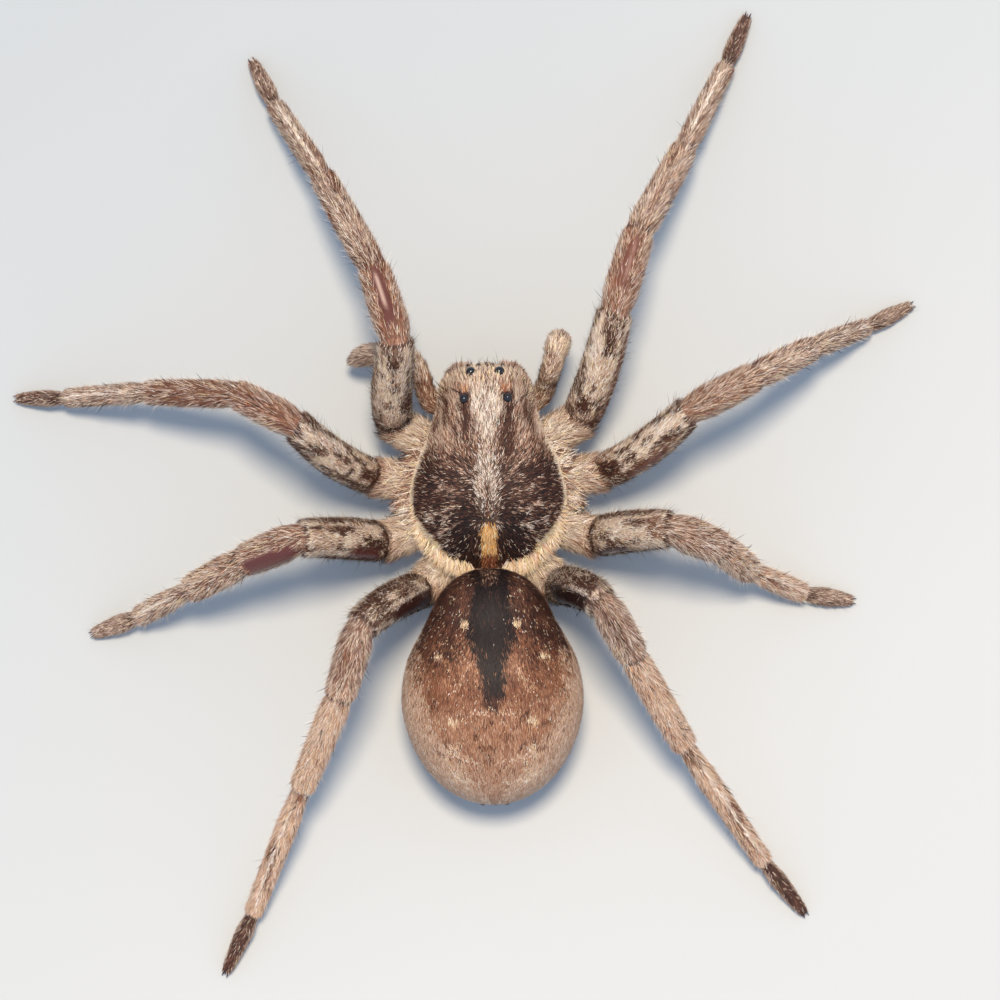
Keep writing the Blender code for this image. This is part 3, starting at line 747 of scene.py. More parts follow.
# Abdomen: an egg whose half sizes are sines along its length, times these swells.
abdomen = {
    "front": 0.3,
    "rear": 12.3,
    "halfWidth": 4.5,
    "above": 4.0,
    "below": 4.05,
    "swell": ((0.0, 0.98), (0.2, 0.875), (0.4, 0.985), (0.6, 1.04), (0.8, 1.05), (1.0, 1.08)),
    "axisHeight": ((0.0, 6.1), (0.45, 5.0), (1.0, 3.9)),
    "coatDepth": 0.12,
    "rows": 120,
    "columns": 150,
    "dimples": ((1.3, 3.05), (2.6, 4.65), (2.0, 7.85)),  # pairs: across, along
    "dimpleDepth": 0.07,
    "dimpleWidth": 0.3,
    "palerFrom": ((0.3, 1.1), (2.0, 0.98), (3.2, 0.92), (5.5, 0.85), (8.0, 0.72), (11.0, 0.35),
                  (12.3, 0.1)),
    "heartHalfWidth": ((0.3, 0.85), (1.2, 0.84), (2.2, 0.9), (3.3, 1.12), (4.1, 1.2), (4.7, 0.82),
                       (5.4, 0.62), (6.6, 0.52), (7.2, 0.34), (7.6, 0.0)),
    "spots": ((1.3, 3.05, 1.0, 0.2), (2.6, 4.65, 0.85, 0.2), (2.0, 7.85, 1.0, 0.23), (1.95, 9.3, 0.7, 0.26),
              (1.9, 10.5, 0.7, 0.34)),  # pairs: across, along, strength, radius
    "bows": ((9.75, -0.35, 2.3), (10.9, -0.22, 2.2)),  # along, rise to the sides, reach across
}


def abdomenPoint(share, around, inset=0.0):
    # share runs from the waist to the tail, around is the angle from the left side over the back
    a = abdomen
    turn = np.arccos(1 - 2 * np.asarray(share, float))
    size = np.sin(turn) * curve(a["swell"], share)
    height = np.where(np.sin(around) > 0, a["above"], a["below"]) - inset
    x = size * (a["halfWidth"] - inset) * np.cos(around)
    y = a["front"] + inset + (a["rear"] - a["front"] - 2 * inset) * share
    z = curve(a["axisHeight"], share) + size * height * np.sin(around)
    return gridOf(x, y, z)


def abdomenMarks(points, side, y, girth, above, under):
    # the hairs: a dark front, rust and honey behind, the black heart mark, spots and lines; also how
    # bright each place is, which the short pale flecks go by
    a = abdomen
    wave = noise(points, 0.9, 11) - 0.5
    fine = noise(points, 0.3, 12) - 0.5
    outer = side / (a["halfWidth"] * girth + 0 * y).clip(0.5)
    mix = shares(side, sienna=0.62, honey=0.14, rust=0.12, brown=0.06, umber=0.06)
    mix = over(mix, ease(6.4, 3.0, y + wave * 2.2) * (1 - 0.5 * hump(side, 1.2, 0.6) * ease(2.8, 4.0, y)),
               umber=0.72, black=0.26, brown=0.02)
    mix = over(mix, hump(side, 1.35, 0.4) * hump(y, 1.9, 0.8) * 0.4, brown=0.6, sienna=0.4)
    mix = over(mix, ease(6.2, 8.0, y + wave), honey=0.66, sienna=0.16, sand=0.18)
    mix = over(mix, ease(8.6, 11.0, y + wave) * 0.85, sand=0.6, honey=0.4)
    # paler towards the sides, from further in at the tail
    start = curve(a["palerFrom"], y)
    paler = ease(start - 0.14, start + 0.14, outer + wave * 0.22) * ease(1.0, 3.0, y)
    mix = over(mix, paler * 0.95, sand=0.6, peach=0.14, beige=0.06, pale=0.2)
    # black heart mark, widest a third of the way along
    heart = curve(a["heartHalfWidth"], y)
    mark = ease(heart + 0.12, heart - 0.12, side + fine * 0.35) * above * (y < 7.9)
    mix = over(mix, mark * ease(7.9, 6.6, y + fine), black=0.94, umber=0.06)
    mix = over(mix, mark * ease(5.6, 7.2, y + fine) * 0.6, umber=1.0)
    mix = over(mix, mark * ease(1.4, 0.8, y) * ease(0.5, 0.3, side) * 0.5, beige=0.4, umber=0.6)
    # an orange glow beside the heart mark's narrow end, with slanting pale lines
    mix = over(mix, hump(side, 1.15, 0.5) * hump(y, 5.0, 0.9) * above * 0.6, honey=0.6, sienna=0.3, tan=0.1)
    slant = hump(side - 1.4 - 0.6 * (y - 5.6), 0, 0.1) * ease(4.8, 5.2, y) * ease(6.6, 6.1, y)
    mix = over(mix, slant * above * 0.6, peach=0.7, tan=0.3)
    # small pale flecks on the dark front, brown specks behind
    cells = noise(points, 0.13, 13)
    flecks = ease(0.79, 0.86, cells + 0.06 * ease(4.5, 3.0, y)) * (1 - mark) * ease(9.4, 7.0, y + wave)
    bright = (flecks * 0.8 + 0.04 * above * ease(11.0, 5.0, y)) * (1 - 0.92 * mark)
    specks = ease(0.6, 0.74, noise(points, 0.22, 15)) * ease(3.0, 5.5, y) * ease(1.0, 0.6, outer)
    mix = over(mix, specks * ease(11.5, 9.0, y) * (1 - mark) * 0.75, umber=0.5, sienna=0.4, brown=0.1)
    pale = ease(0.58, 0.72, noise(points, 0.34, 17)) * ease(3.6, 5.5, y) * ease(1.0, 0.6, outer)
    mix = over(mix, pale * (1 - mark) * 0.35, tan=0.5, honey=0.5)
    # cream spots in pairs, and thin pale lines across
    for across, along, strength, size in a["spots"]:
        away = np.hypot(side - across, y - along) / size
        spot = ease(1.15, 0.85, away + fine * (0.4 + 2.5 * (size > 0.24))) * above
        mix = over(mix, spot * strength * (0.7 if size < 0.24 else 0.25), cream=0.5, peach=0.5)
        bright = np.maximum(bright, spot * strength)
    bow = np.abs(y - 7.45 - 0.05 * side**2 + 0.12 * (side < 0.15))
    bright = np.maximum(bright, ease(0.11, 0.04, bow) * ease(1.6, 1.0, side) * above * 1.8)
    for middle, rise, reach in a["bows"]:
        bow = np.abs(y - middle - rise * (side - 1.4) - 0.12 * np.sin(side * 9))
        bright = np.maximum(bright, ease(0.14, 0.05, bow) * hump(side, 1.6, 0.8) * (side < reach)
                            * above * 2.4)
    # below: a greyer beige with two dark lines that meet at the spinnerets
    mix = over(mix, under * 0.9, beige=0.5, brown=0.22, pale=0.28)
    lines = hump(side, 1.5 * ease(11.5, 3.0, y), 0.3) * under
    mix = over(mix, lines * 0.5, umber=0.6, brown=0.4)
    return mix, bright


def makeAbdomen():
    # the egg with its dimples pressed in, as the ground for skin and coat
    a = abdomen
    turn = poleToPole(a["rows"], 0.02)
    around = fullTurn(a["columns"], below)[None, :]
    place = abdomenPoint((1 - np.cos(turn)) / 2, around, a["coatDepth"])
    side, y = np.abs(place[..., 0]), place[..., 1]
    above, under = ease(0.0, 0.6, np.sin(around) + 0 * y), ease(0.25, -0.35, np.sin(around) + 0 * y)
    # paired dimples where muscles hold the back
    for across, along in a["dimples"]:
        away = np.hypot(side - across, y - along)
        place[..., 2] -= a["dimpleDepth"] * hump(away, 0, a["dimpleWidth"]) * above
    points = place + waist
    mix, bright = abdomenMarks(points, side, y, np.sin(turn), above, under)
    lie = unit(np.gradient(points, axis=0))
    length = 0.9 + 0.25 * ease(4, 0.5, y) + 0.35 * under
    ground = surface(points, mix, lie, length, 1 - 0.35 * under)
    ground["bright"] = bright
    return ground


abdomenGround = makeAbdomen()
print("abdomen worked out")

# Legs: read from the solids, so each tube runs through its own five pieces.
legs = {
    "pieces": ("coxa", "femur", "patella", "tibia", "foot"),
    "names": [f"leg{pair}_{side}" for pair in (1, 2, 3, 4) for side in ("left", "right")],
    "metatarsusShare": {1: 0.655, 2: 0.648, 3: 0.612, 4: 0.697},  # of the foot's length
    "corners": 10,  # of the ring at each end of a piece
    "coatDepth": {"coxa": 0.2, "femur": 0.15, "patella": 0.12, "tibia": 0.14, "foot": 0.12},
    "rows": 150,  # evenly along the leg, with more round each joint
    "jointRows": 12,
    "jointReach": (-0.32, 0.4),
    "columns": 32,
    # step down in width at each joint (0.72 is the trochanter's), as part of the width
    "cuffs": {0.72: 0.06, 1: 0.1, 2: 0.16, 3: 0.1, 4: 0.15, 5: 0.24},
    "cuffStart": (-0.16, 0.06),  # the step begins and ends this far from the joint
    "cuffReach": 1.1,  # and is made up again this far past it
    "hindAnkle": (1.7, 2.4),  # times as deep and as long on the two hind pairs, where the metatarsus starts
    "toeInset": 0.22,  # how much shorter the skin is than the toe's coat
    "lowest": 0.05,  # over the floor
    # along the leg, where 1 is the coxa's end, 2 the femur's, and so on
    "hairLength": ((0, 1.9), (0.75, 1.9), (1.15, 0.85), (2, 0.85), (3, 0.9), (4, 0.85), (5, 0.72),
                   (5.3, 0.6), (6, 0.42)),
    "membrane": (158, 116, 92),  # the bare skin inside the knee
    "paintedHighlight": (236, 208, 190),  # painted highlight: a pale line on top of a bare patella, where the light's reflection would be
}


def cornersOf(node):
    # a solid's points in mm, and its triangles
    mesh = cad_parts[node].data
    points = np.empty(len(mesh.vertices) * 3, np.float32)
    mesh.vertices.foreach_get("co", points)
    mesh.calc_loop_triangles()
    triangles = np.empty(len(mesh.loop_triangles) * 3, np.int32)
    mesh.loop_triangles.foreach_get("vertices", triangles)
    return points.reshape(-1, 3).astype(float) / mm, triangles.reshape(-1, 3)


def endRing(points, other):
    # mean of the ring's worth of corners that lie nearest to other's, which may be one point
    points = np.unique(points.round(4), axis=0)
    away = np.linalg.norm(points[:, None] - np.atleast_2d(other)[None], axis=-1).min(1)
    return points[np.argsort(away)[: legs["corners"]]].mean(0)


def farRing(points, other):
    # the same for the corners that lie farthest from one point
    points = np.unique(points.round(4), axis=0)
    away = np.linalg.norm(points - other, axis=-1)
    return points[np.argsort(-away)[: legs["corners"]]].mean(0)


def crossSection(solid, spot, axis, level, rise):
    # centre and half sizes of the solid's cut by the plane through spot square to axis
    points, triangles = solid
    a, b = triangles.ravel(), triangles[:, [1, 2, 0]].ravel()
    heightA, heightB = (points[a] - spot) @ axis, (points[b] - spot) @ axis
    cut = heightA * heightB < 0
    share = heightA[cut] / (heightA[cut] - heightB[cut])
    ring = points[a[cut]] + (points[b[cut]] - points[a[cut]]) * share[:, None] - spot
    x, z = ring @ level, ring @ rise
    centre = spot + level * (x.max() + x.min()) / 2 + rise * (z.max() + z.min()) / 2
    return centre, (x.max() - x.min()) / 2, (z.max() - z.min()) / 2


def legStations(name):
    # rows of (centre, half width vector, half height vector, place along the leg, coat depth)
    solids = [cornersOf(f"{name}_{piece}") for piece in legs["pieces"]]
    joints = [endRing(a[0], b[0]) / 2 + endRing(b[0], a[0]) / 2 for a, b in zip(solids, solids[1:])]
    joints = [farRing(solids[0][0], joints[0]), *joints, farRing(solids[-1][0], joints[-1])]
    share = legs["metatarsusShare"][int(name[3])]
    heading = unit(joints[5] - joints[4])
    level = unit(np.cross(heading, up))
    ankle = crossSection(solids[4], joints[4] + (joints[5] - joints[4]) * share, heading, level,
                         np.cross(level, heading))[0]
    joints.insert(5, ankle)
    solids.append(solids[4])
    depths = [legs["coatDepth"][piece] for piece in (*legs["pieces"], "foot")]
    directions = [unit(b - a) for a, b in zip(joints, joints[1:])]
    sections = []
    for k, (start, end) in enumerate(zip(joints, joints[1:])):
        axis, level = directions[k], unit(np.cross(directions[k], up))
        rise = np.cross(level, axis)
        size = np.linalg.norm(end - start)
        leans = [math.acos(min(1.0, axis @ unit(axis + directions[n]))) if 0 <= n < 6 else 0.0
                 for n in (k - 1, k + 1)]
        first, last = (0.95 * math.tan(lean) + 0.25 for lean in leans)
        count = 3 if size > 2.5 else 2
        rows = []
        for place in np.linspace(first, size - last, count):
            centre, halfWidth, halfHeight = crossSection(solids[k], start + axis * place, axis, level, rise)
            rows.append((centre, level * halfWidth, rise * halfHeight, k + place / size, depths[k]))
        sections.append(rows)
    stations = []
    for k, joint in enumerate(joints):
        meet = [sections[n][m] for n, m in ((k - 1, -1), (k, 0)) if 0 <= n < 6]
        sheared = []
        normal = unit(sum(directions[n] for n in (k - 1, k) if 0 <= n < 6))
        for n, row in zip([n for n in (k - 1, k) if 0 <= n < 6], meet):
            axis = directions[n]
            sheared.append([v - axis * (v @ normal) / (axis @ normal) for v in row[1:3]])
        width, height = np.mean(sheared, axis=0)
        stations.append((joint, width, height, float(k), np.mean([row[4] for row in meet])))
        if k < 6:
            stations.extend(sections[k])
    return stations, [np.linalg.norm(b - a) for a, b in zip(joints, joints[1:])]


def pastJoint(place, joint, lengths):
    # how many mm past a joint a place on the leg lies
    return (place - joint) * np.where(place < joint, lengths[math.ceil(joint) - 1],
                                      lengths[math.floor(joint)])


def legTube(name):
    # centre(t) + A(t) cos a + B(t) sin a, with centre, A and B as B-splines over the stations
    stations, lengths = legStations(name)
    columns = [np.array([row[k] for row in stations]) for k in range(5)]
    dense = np.linspace(0, len(stations) - 1, 900)
    path = bend(columns[0], dense)
    travelled = np.concatenate([[0], np.cumsum(np.linalg.norm(np.diff(path, axis=0), axis=1))])
    reached = np.concatenate([[0], np.cumsum(lengths)]) * travelled[-1] / sum(lengths)
    steps = [np.linspace(0, travelled[-1] - legs["toeInset"], legs["rows"])]
    steps += [joint + np.linspace(*legs["jointReach"], legs["jointRows"]) for joint in reached[1:6]]
    steps = np.sort(np.concatenate(steps))
    t = np.interp(steps, travelled, dense)
    centre, width, height, place, depth = (bend(column, t) for column in columns)
    size = 1 - 0.35 * ease(5.8, 6.0, place) ** 2
    for joint, step in legs["cuffs"].items():
        gap = pastJoint(place, joint, lengths)
        deeper, longer = legs["hindAnkle"] if joint == 4 and name[3] in "34" else (1, 1)
        reach = legs["cuffReach"] * longer
        size = size - step * deeper * ease(*legs["cuffStart"], gap) * ease(reach, 0.1, gap)
    width, height = (v * size[:, None] * (1 - depth[:, None] / np.linalg.norm(v, axis=1, keepdims=True))
                     for v in (width, height))
    angle = fullTurn(legs["columns"], below)[None, :, None]
    points = centre[:, None] + width[:, None] * np.cos(angle) + height[:, None] * np.sin(angle)
    points[..., 2] = points[..., 2].clip(legs["lowest"])
    lie = unit(np.gradient(centre, axis=0))[:, None] + 0 * points
    front = np.cos(angle[..., 0]) * (1 if name.endswith("left") else -1) + 0 * points[..., 0]
    above = np.sin(angle[..., 0]) + 0 * points[..., 0]
    along = steps[:, None] + 0 * above
    thick = np.linalg.norm(width, axis=1)[:, None]
    grain = np.stack([along, thick * front, thick * above], axis=-1)
    return points, lie, place[:, None] + 0 * above, front, above, lengths, grain


# Each leg's own looks, from 0 to 1: how dark the femur's streaks and the toe are, how red the patella is,
# how much paler the outer lengths are (partly their own paler hair, partly painted light where the leg
# lies in brighter light), and how bare the knee is (which also sets the painted highlight on the patella),
# with the colour of its bare skin.
legLooks = {
    "leg1_left": dict(horn=(102, 59, 46), knee=1.0, streaks=0.4, tarsus=0.55, rust=0.75, bright=0.0),
    "leg1_right": dict(horn=(112, 66, 50), knee=0.4, streaks=0.5, tarsus=0.9, rust=0.6, bright=0.15),
    "leg2_left": dict(horn=(100, 58, 45), knee=0.35, streaks=0.65, tarsus=0.7, rust=0.8, bright=0.15),
    "leg2_right": dict(horn=(104, 60, 48), knee=0.3, streaks=0.6, tarsus=0.2, rust=0.35, bright=0.15),
    "leg3_left": dict(horn=(96, 50, 42), knee=0.3, streaks=0.85, tarsus=0.1, rust=0.4, bright=0.35),
    "leg3_right": dict(horn=(78, 42, 36), knee=0.0, streaks=0.42, tarsus=0.2, rust=0.2, bright=0.6),
    "leg4_left": dict(horn=(62, 34, 29), knee=0.0, streaks=0.5, tarsus=1.0, rust=0.2, bright=1.0),
    "leg4_right": dict(horn=(36, 21, 20), knee=0.0, streaks=0.25, tarsus=1.0, rust=0.2, bright=0.8),
}

# Each leg's own marks: place along the leg (1 to 2 is the femur, 2 to 3 the patella, and so on), degrees
# round it (0 on top, 90 in front, -90 behind), reach, spread in degrees, hair and strength.
legMarks = {
    "leg1_left": (
        (1.84, 4, 0.04, 15, "umber", 0.9), (1.63, 12, 0.06, 14, "umber", 0.75),
        (1.42, -12, 0.05, 12, "brown", 0.7), (1.45, 58, 0.3, 16, "umber", 0.8),
        (1.4, -70, 0.4, 18, "brown", 0.6), (1.08, 0, 0.05, 80, "umber", 0.7)),
    "leg1_right": (
        (1.78, -16, 0.09, 18, "umber", 1.0), (1.74, 32, 0.12, 18, "white", 0.9),
        (1.24, 8, 0.1, 30, "umber", 1.0), (1.5, -72, 0.4, 20, "brown", 0.8),
        (1.45, 60, 0.2, 12, "umber", 0.6), (1.05, -30, 0.05, 60, "umber", 0.6)),
    "leg2_left": (
        (1.24, 8, 0.06, 20, "umber", 1.0), (1.5, 18, 0.05, 16, "umber", 0.8),
        (1.75, -8, 0.07, 14, "umber", 0.7), (1.08, 0, 0.05, 60, "umber", 0.6),
        (1.7, 40, 0.16, 16, "white", 0.6), (3.4, 0, 0.5, 75, "brown", 0.95)),
    "leg2_right": (
        (1.2, 4, 0.12, 34, "umber", 1.0), (1.18, 8, 0.05, 18, "black", 0.8),
        (1.55, -46, 0.3, 26, "brown", 0.8), (1.42, 10, 0.08, 12, "umber", 0.7),
        (1.75, 20, 0.12, 26, "white", 0.6), (1.72, -14, 0.1, 10, "umber", 0.8),
        (3.4, 0, 0.4, 75, "pale", 0.25), (4.5, 0, 0.5, 90, "mouse", 0.25)),
    "leg3_left": (
        (1.24, -14, 0.1, 24, "umber", 1.0), (1.1, 10, 0.06, 40, "umber", 0.8),
        (1.55, 62, 0.4, 16, "umber", 0.7)),
    "leg3_right": (
        (1.45, 66, 0.4, 16, "umber", 0.85), (1.12, 4, 0.06, 40, "umber", 0.7),
        (1.9, 10, 0.08, 40, "brown", 0.7), (1.5, 0, 0.12, 16, "white", 0.6)),
    "leg4_left": (
        (1.5, 50, 0.5, 24, "umber", 0.85), (1.85, 10, 0.12, 50, "umber", 0.7),
        (1.3, -10, 0.2, 10, "white", 0.6), (2.5, 24, 0.3, 20, "brown", 0.6)),
    "leg4_right": (
        (1.5, 0, 0.5, 90, "umber", 0.5), (1.8, 10, 0.16, 60, "umber", 0.85),
        (1.78, -4, 0.14, 8, "white", 0.9), (1.4, 62, 0.3, 20, "umber", 0.5),
        (2.4, -4, 0.4, 16, "umber", 0.6)),
}

# Bare, polished places: from and to along the leg, degrees round it, spread in degrees, strength.
barePlaces = {
    "leg1_left": ((2.1, 2.99, 2, 26, 1.0), (3.02, 3.4, 14, 9, 0.8), (3.45, 3.75, 34, 8, 0.6)),
    "leg1_right": ((2.16, 2.95, 6, 26, 0.9), (3.05, 3.5, 4, 9, 0.6)),
    "leg2_left": ((2.2, 2.95, 4, 14, 0.7), (1.15, 1.6, -66, 18, 0.8)),
    "leg2_right": ((1.2, 1.75, -62, 24, 0.8),),
    "leg3_left": ((2.03, 2.99, -44, 50, 1.0), (1.1, 1.62, -52, 24, 1.0)),
    "leg3_right": ((1.08, 1.66, -58, 26, 1.0),),
    "leg4_left": ((1.05, 1.8, -52, 38, 1.0),),
    "leg4_right": ((1.22, 2.0, -50, 44, 1.0),),
}


def legBareness(name, place, around, above, fine, gap):
    # how bare the skin is, over the membrane past the knee and in the polished places, and its colour, with
    # a painted highlight along the top of a bare patella
    look = legLooks[name]
    knee = ease(-0.02, 0.06, gap) * ease(0.34, 0.2, gap) * ease(0.2, 0.7, above)
    bare = knee * look["knee"] * 0.9
    tone = paint(*look["horn"])
    tone = tone + (paint(*legs["membrane"]) - tone) * knee[..., None]
    # painted highlight: a pale streak along the top of a bare patella, standing in for the light's
    # reflection
    paintedHighlight = hump(around, 2, 3.4) * ease(2.3, 2.45, place) * ease(2.9, 2.75, place) * look["knee"]
    tone = tone + (paint(*legs["paintedHighlight"]) - tone) * paintedHighlight[..., None] * 0.85
    for first, last, turn, spread, strength in barePlaces[name]:
        inside = ease(first, first + 0.1, place) * ease(last, last - 0.12, place)
        bare = np.maximum(bare, inside * ease(1.1, 0.8, np.abs(around - turn) / spread + fine * 0.4)
                          * strength)
    return bare.clip(0, 1), tone


def legGround(name):
    # a leg's tube with its hairs, streaks, marks and bare places
    points, lie, place, front, above, lengths, grain = legTube(name)
    look = legLooks[name]
    around = np.degrees(np.arctan2(front, above))
    # dashes: noise in cells stretched along the leg
    pair = int(name[3])
    dashes = noise(grain * np.array([1.4, 3.8, 3.8]) + 31 * pair, 1.0, 21)
    lines = noise(grain * np.array([0.5, 3.2, 3.2]) + 17 * pair, 1.0, 24)
    patch = noise(points, 0.8, 22)
    fine = noise(points, 0.25, 23) - 0.5
    top = ease(-0.45, 0.35, above)
    femur, patella = ease(0.93, 1.04, place), ease(1.99, 2.03, place)
    tibia, shank, tarsus = ease(2.98, 3.03, place), ease(3.98, 4.01, place), ease(4.98, 5.01, place)
    mix = shares(place, white=0.22, cream=0.14, pale=0.36, ash=0.18, brown=0.1)
    mix = over(mix, ease(0.5, 0.8, place + fine * 0.4), beige=0.4, pale=0.26, brown=0.3, umber=0.04)
    mix = over(mix, ease(0.97, 1.1, place + fine * 0.2), pale=0.36, white=0.38, cream=0.16, beige=0.1)
    dark = (femur - patella) * look["streaks"]
    mix = over(mix, dark * ease(0.5, 0.7, patch) * 0.5, brown=0.6, beige=0.4)
    base = femur * ease(1.32, 1.1, place + fine * 0.2 + (patch - 0.5) * 0.3)
    mix = over(mix, base * 0.6, brown=0.6, umber=0.2, beige=0.2)
    mix = over(mix, dark ** 0.5 * ease(0.6, 0.65, dashes), umber=0.8, black=0.2)
    mix = over(mix, (femur - patella) * ease(0.57, 0.64, lines) * look["streaks"] ** 0.5, umber=0.8,
               brown=0.2)
    # dark femur sides: partly the femur's own dark side lines, partly painted shade on the sides that turn
    # away from the light
    sides = hump(np.abs(around), 86, 14) * (femur - patella) * (0.4 + 0.6 * ease(0.3, 0.6, patch))
    mix = over(mix, sides * 0.65, umber=0.7, brown=0.3)
    mix = over(mix, patella, ash=0.3, beige=0.1, brown=0.34, pale=0.2, umber=0.06)
    redness = patella * (1 - tibia) * look["rust"] * ease(75, 35, np.abs(around - 5) + fine * 40)
    mix = over(mix, redness, rust=0.16, brown=0.32, umber=0.22, tan=0.1, sienna=0.2)
    mix = over(mix, tibia, ash=0.28, beige=0.12, pale=0.12, mouse=0.4, white=0.08)
    mix = over(mix, tibia * (1 - shank) * top * ease(0.54, 0.66, lines) * 0.85, brown=0.66, umber=0.3,
               rust=0.04)
    mix = over(mix, tibia * (1 - shank) * top * ease(0.64, 0.76, dashes) * 0.6, umber=0.6, brown=0.4)
    mix = over(mix, shank, ash=0.36, pale=0.08, mouse=0.5, white=0.06)
    # paler outer lengths: partly the leg's own paler hair, partly painted light where the leg lies in
    # brighter light
    mix = over(mix, ease(2.6, 3.2, place) * look["bright"] * 0.9, pale=0.32, peach=0.32, beige=0.18,
               tan=0.18)
    mix = over(mix, shank * (1 - tarsus) * top * ease(0.58, 0.72, lines) * 0.7, brown=0.8, umber=0.2)
    groove = hump(around, 12, 9) * ease(4.06, 4.2, place) * ease(4.95, 4.8, place)
    mix = over(mix, groove * 0.85, white=0.8, pale=0.2)
    mix = over(mix, tarsus, ash=0.42, pale=0.1, mouse=0.4, beige=0.08)
    middle = ease(66, 34, np.abs(around - 4) + fine * 30)
    mix = over(mix, tarsus * look["tarsus"] * middle, umber=0.76, black=0.12, brown=0.12)
    mix = over(mix, hump(pastJoint(place, 5, lengths), 0.28, 0.22) * middle * 0.8, umber=0.8, black=0.2)
    for at, turn, reach, spread, hair, strength in legMarks[name]:
        blot = np.hypot((place - at) / reach, (around - turn) / spread) + fine * 0.7
        mix = over(mix, ease(1.25, 0.7, blot) * strength, **{hair: 0.9, "brown": 0.1})
    # a dark rim where one length ends
    for joint in (1, 2, 3, 4):
        gap = pastJoint(place, joint, lengths)
        rim = hump(gap, -0.03, 0.13) * ease(-0.7, 0.2, above) * (0.6 + 0.4 * ease(0.35, 0.6, patch))
        mix = over(mix, rim * (0.8, 1.0, 0.9, 0.9)[joint - 1], umber=0.85, black=0.1, brown=0.05)
    bare, bareTone = legBareness(name, place, around, above, fine, pastJoint(place, 2, lengths))
    hairLength = curve(legs["hairLength"], place)
    hairLength = hairLength * (1 + 0.3 * ease(0.3, -0.5, above) * ease(2.0, 2.5, place) * (1 - tarsus))
    density = ease(0.25, 0.4, place) * (1 - 0.35 * ease(-0.3, -0.9, above)) * (1 + 0.25 * tarsus)
    for joint in (2, 3, 4, 5):
        gap = pastJoint(place, joint, lengths)
        hairLength = hairLength * (1 - 0.35 * ease(-0.6, -0.15, gap) * (gap < 0.02))
        density = density * (1 - 0.4 * hump(gap, 0.08, 0.09))
    ground = surface(points, mix, lie, hairLength, density, bare, grain, bareTone)
    ground["place"], ground["around"] = place, around
    return ground


legGrounds = {name: legGround(name) for name in legs["names"]}
print("legs read from the solids")

# Feelers, from beside the jaws: centre line and width as far as the hairs' tips.
palps = {
    "paths": {
        "palp_left": ((2.0, -7.4, 3.4), (2.72, -7.95, 3.55), (3.12, -8.85, 3.8), (3.5, -9.85, 3.75),
                      (4.6, -10.45, 3.5), (5.9, -10.4, 2.9), (6.75, -10.1, 2.0)),
        "palp_right": ((-2.15, -7.35, 3.4), (-2.85, -8.3, 3.75), (-3.3, -9.5, 5.1), (-3.58, -10.45, 5.15),
                       (-3.72, -10.85, 4.1), (-3.65, -10.8, 2.6)),
    },
    "widths": (0.95, 1.15, 1.15, 1.3, 1.25, 0.8),
    "joints": (0.3, 0.5, 0.68),
    "jointDepth": 0.12,  # as part of the radius
    "jointWidth": 0.018,
    "coatDepth": 0.11,
    "rows": 70,
    "columns": 26,
}


def palpGround(name):
    # circles square to the centre line, narrower at the joints and rounded off at the tip
    p = palps
    t = np.linspace(0, 1, p["rows"])
    centres = np.stack([spaced(column, t) for column in zip(*p["paths"][name])], axis=-1) + waist
    radius = spaced(p["widths"], t) / 2 - p["coatDepth"]
    for joint in p["joints"]:
        radius = radius * (1 - p["jointDepth"] * hump(t, joint, p["jointWidth"]))
    radius = radius * np.sqrt(1 - ease(0.9, 1.0, t) ** 2 * 0.8)
    along = unit(np.gradient(centres, axis=0))
    outward = leftwards * math.copysign(1, centres[-1][0] - waist[0]) + backwards * 0.35
    level = unit(np.cross(along, outward))
    other = np.cross(along, level)
    points = roundTube(centres[:, None], level[:, None], other[:, None], radius[:, None, None],
                       p["columns"])
    t = t[:, None] + 0 * points[..., 0]
    mix = shares(t, pale=0.44, ash=0.24, white=0.1, brown=0.1, cream=0.12)
    root = ease(0.5, 0.35, t) * (0.8 if name.endswith("left") else 0.5)
    mix = over(mix, root, brown=0.5, umber=0.24, beige=0.26)
    mix = over(mix, ease(0.66, 0.72, t), ash=0.5, mouse=0.3, pale=0.2)
    for joint in p["joints"]:
        mix = over(mix, hump(t, joint, 0.012) * 0.7, umber=0.6, brown=0.4)
    mix = over(mix, ease(0.6, 0.8, noise(points, 0.5, 31)) * 0.4, brown=0.7, umber=0.3)
    return surface(points, mix, along[:, None] + 0 * points, 0.8 + 0.1 * t, ease(0.05, 0.15, t))


palpGrounds = {name: palpGround(name) for name in palps["paths"]}

# Flanks between carapace, coxae and sternum, and the waist.
flanks = {
    "front": -8.3,
    "rear": 0.15,
    "halfWidth": ((-8.3, 1.0), (-7.6, 1.9), (-6.4, 3.05), (-5.0, 4.05), (-3.3, 4.5), (-1.8, 4.2),
                  (-0.6, 3.1), (0.15, 1.2)),
    "middle": 3.55,
    "halfHeight": ((-8.3, 0.6), (-7.6, 0.9), (-5.0, 0.95), (-1.0, 0.9), (0.15, 0.6)),
    "hairsFrom": (0, -3.4, 3.2),  # the hair lies away from here
    "rows": 60,
    "columns": 64,
    "waistStart": (0, -0.7, 3.6),
    "waistRun": (0, 2.4, 0.2),
    "waistRadius": 0.5,
    "waistHollow": 0.08,
    "waistRows": 14,
    "waistColumns": 24,
}


def swirl(points, size):
    # a direction that wanders over a surface, for hair that lies untidily
    return np.stack([noise(points, size, seed) - 0.5 for seed in (42, 43, 44)], axis=-1)


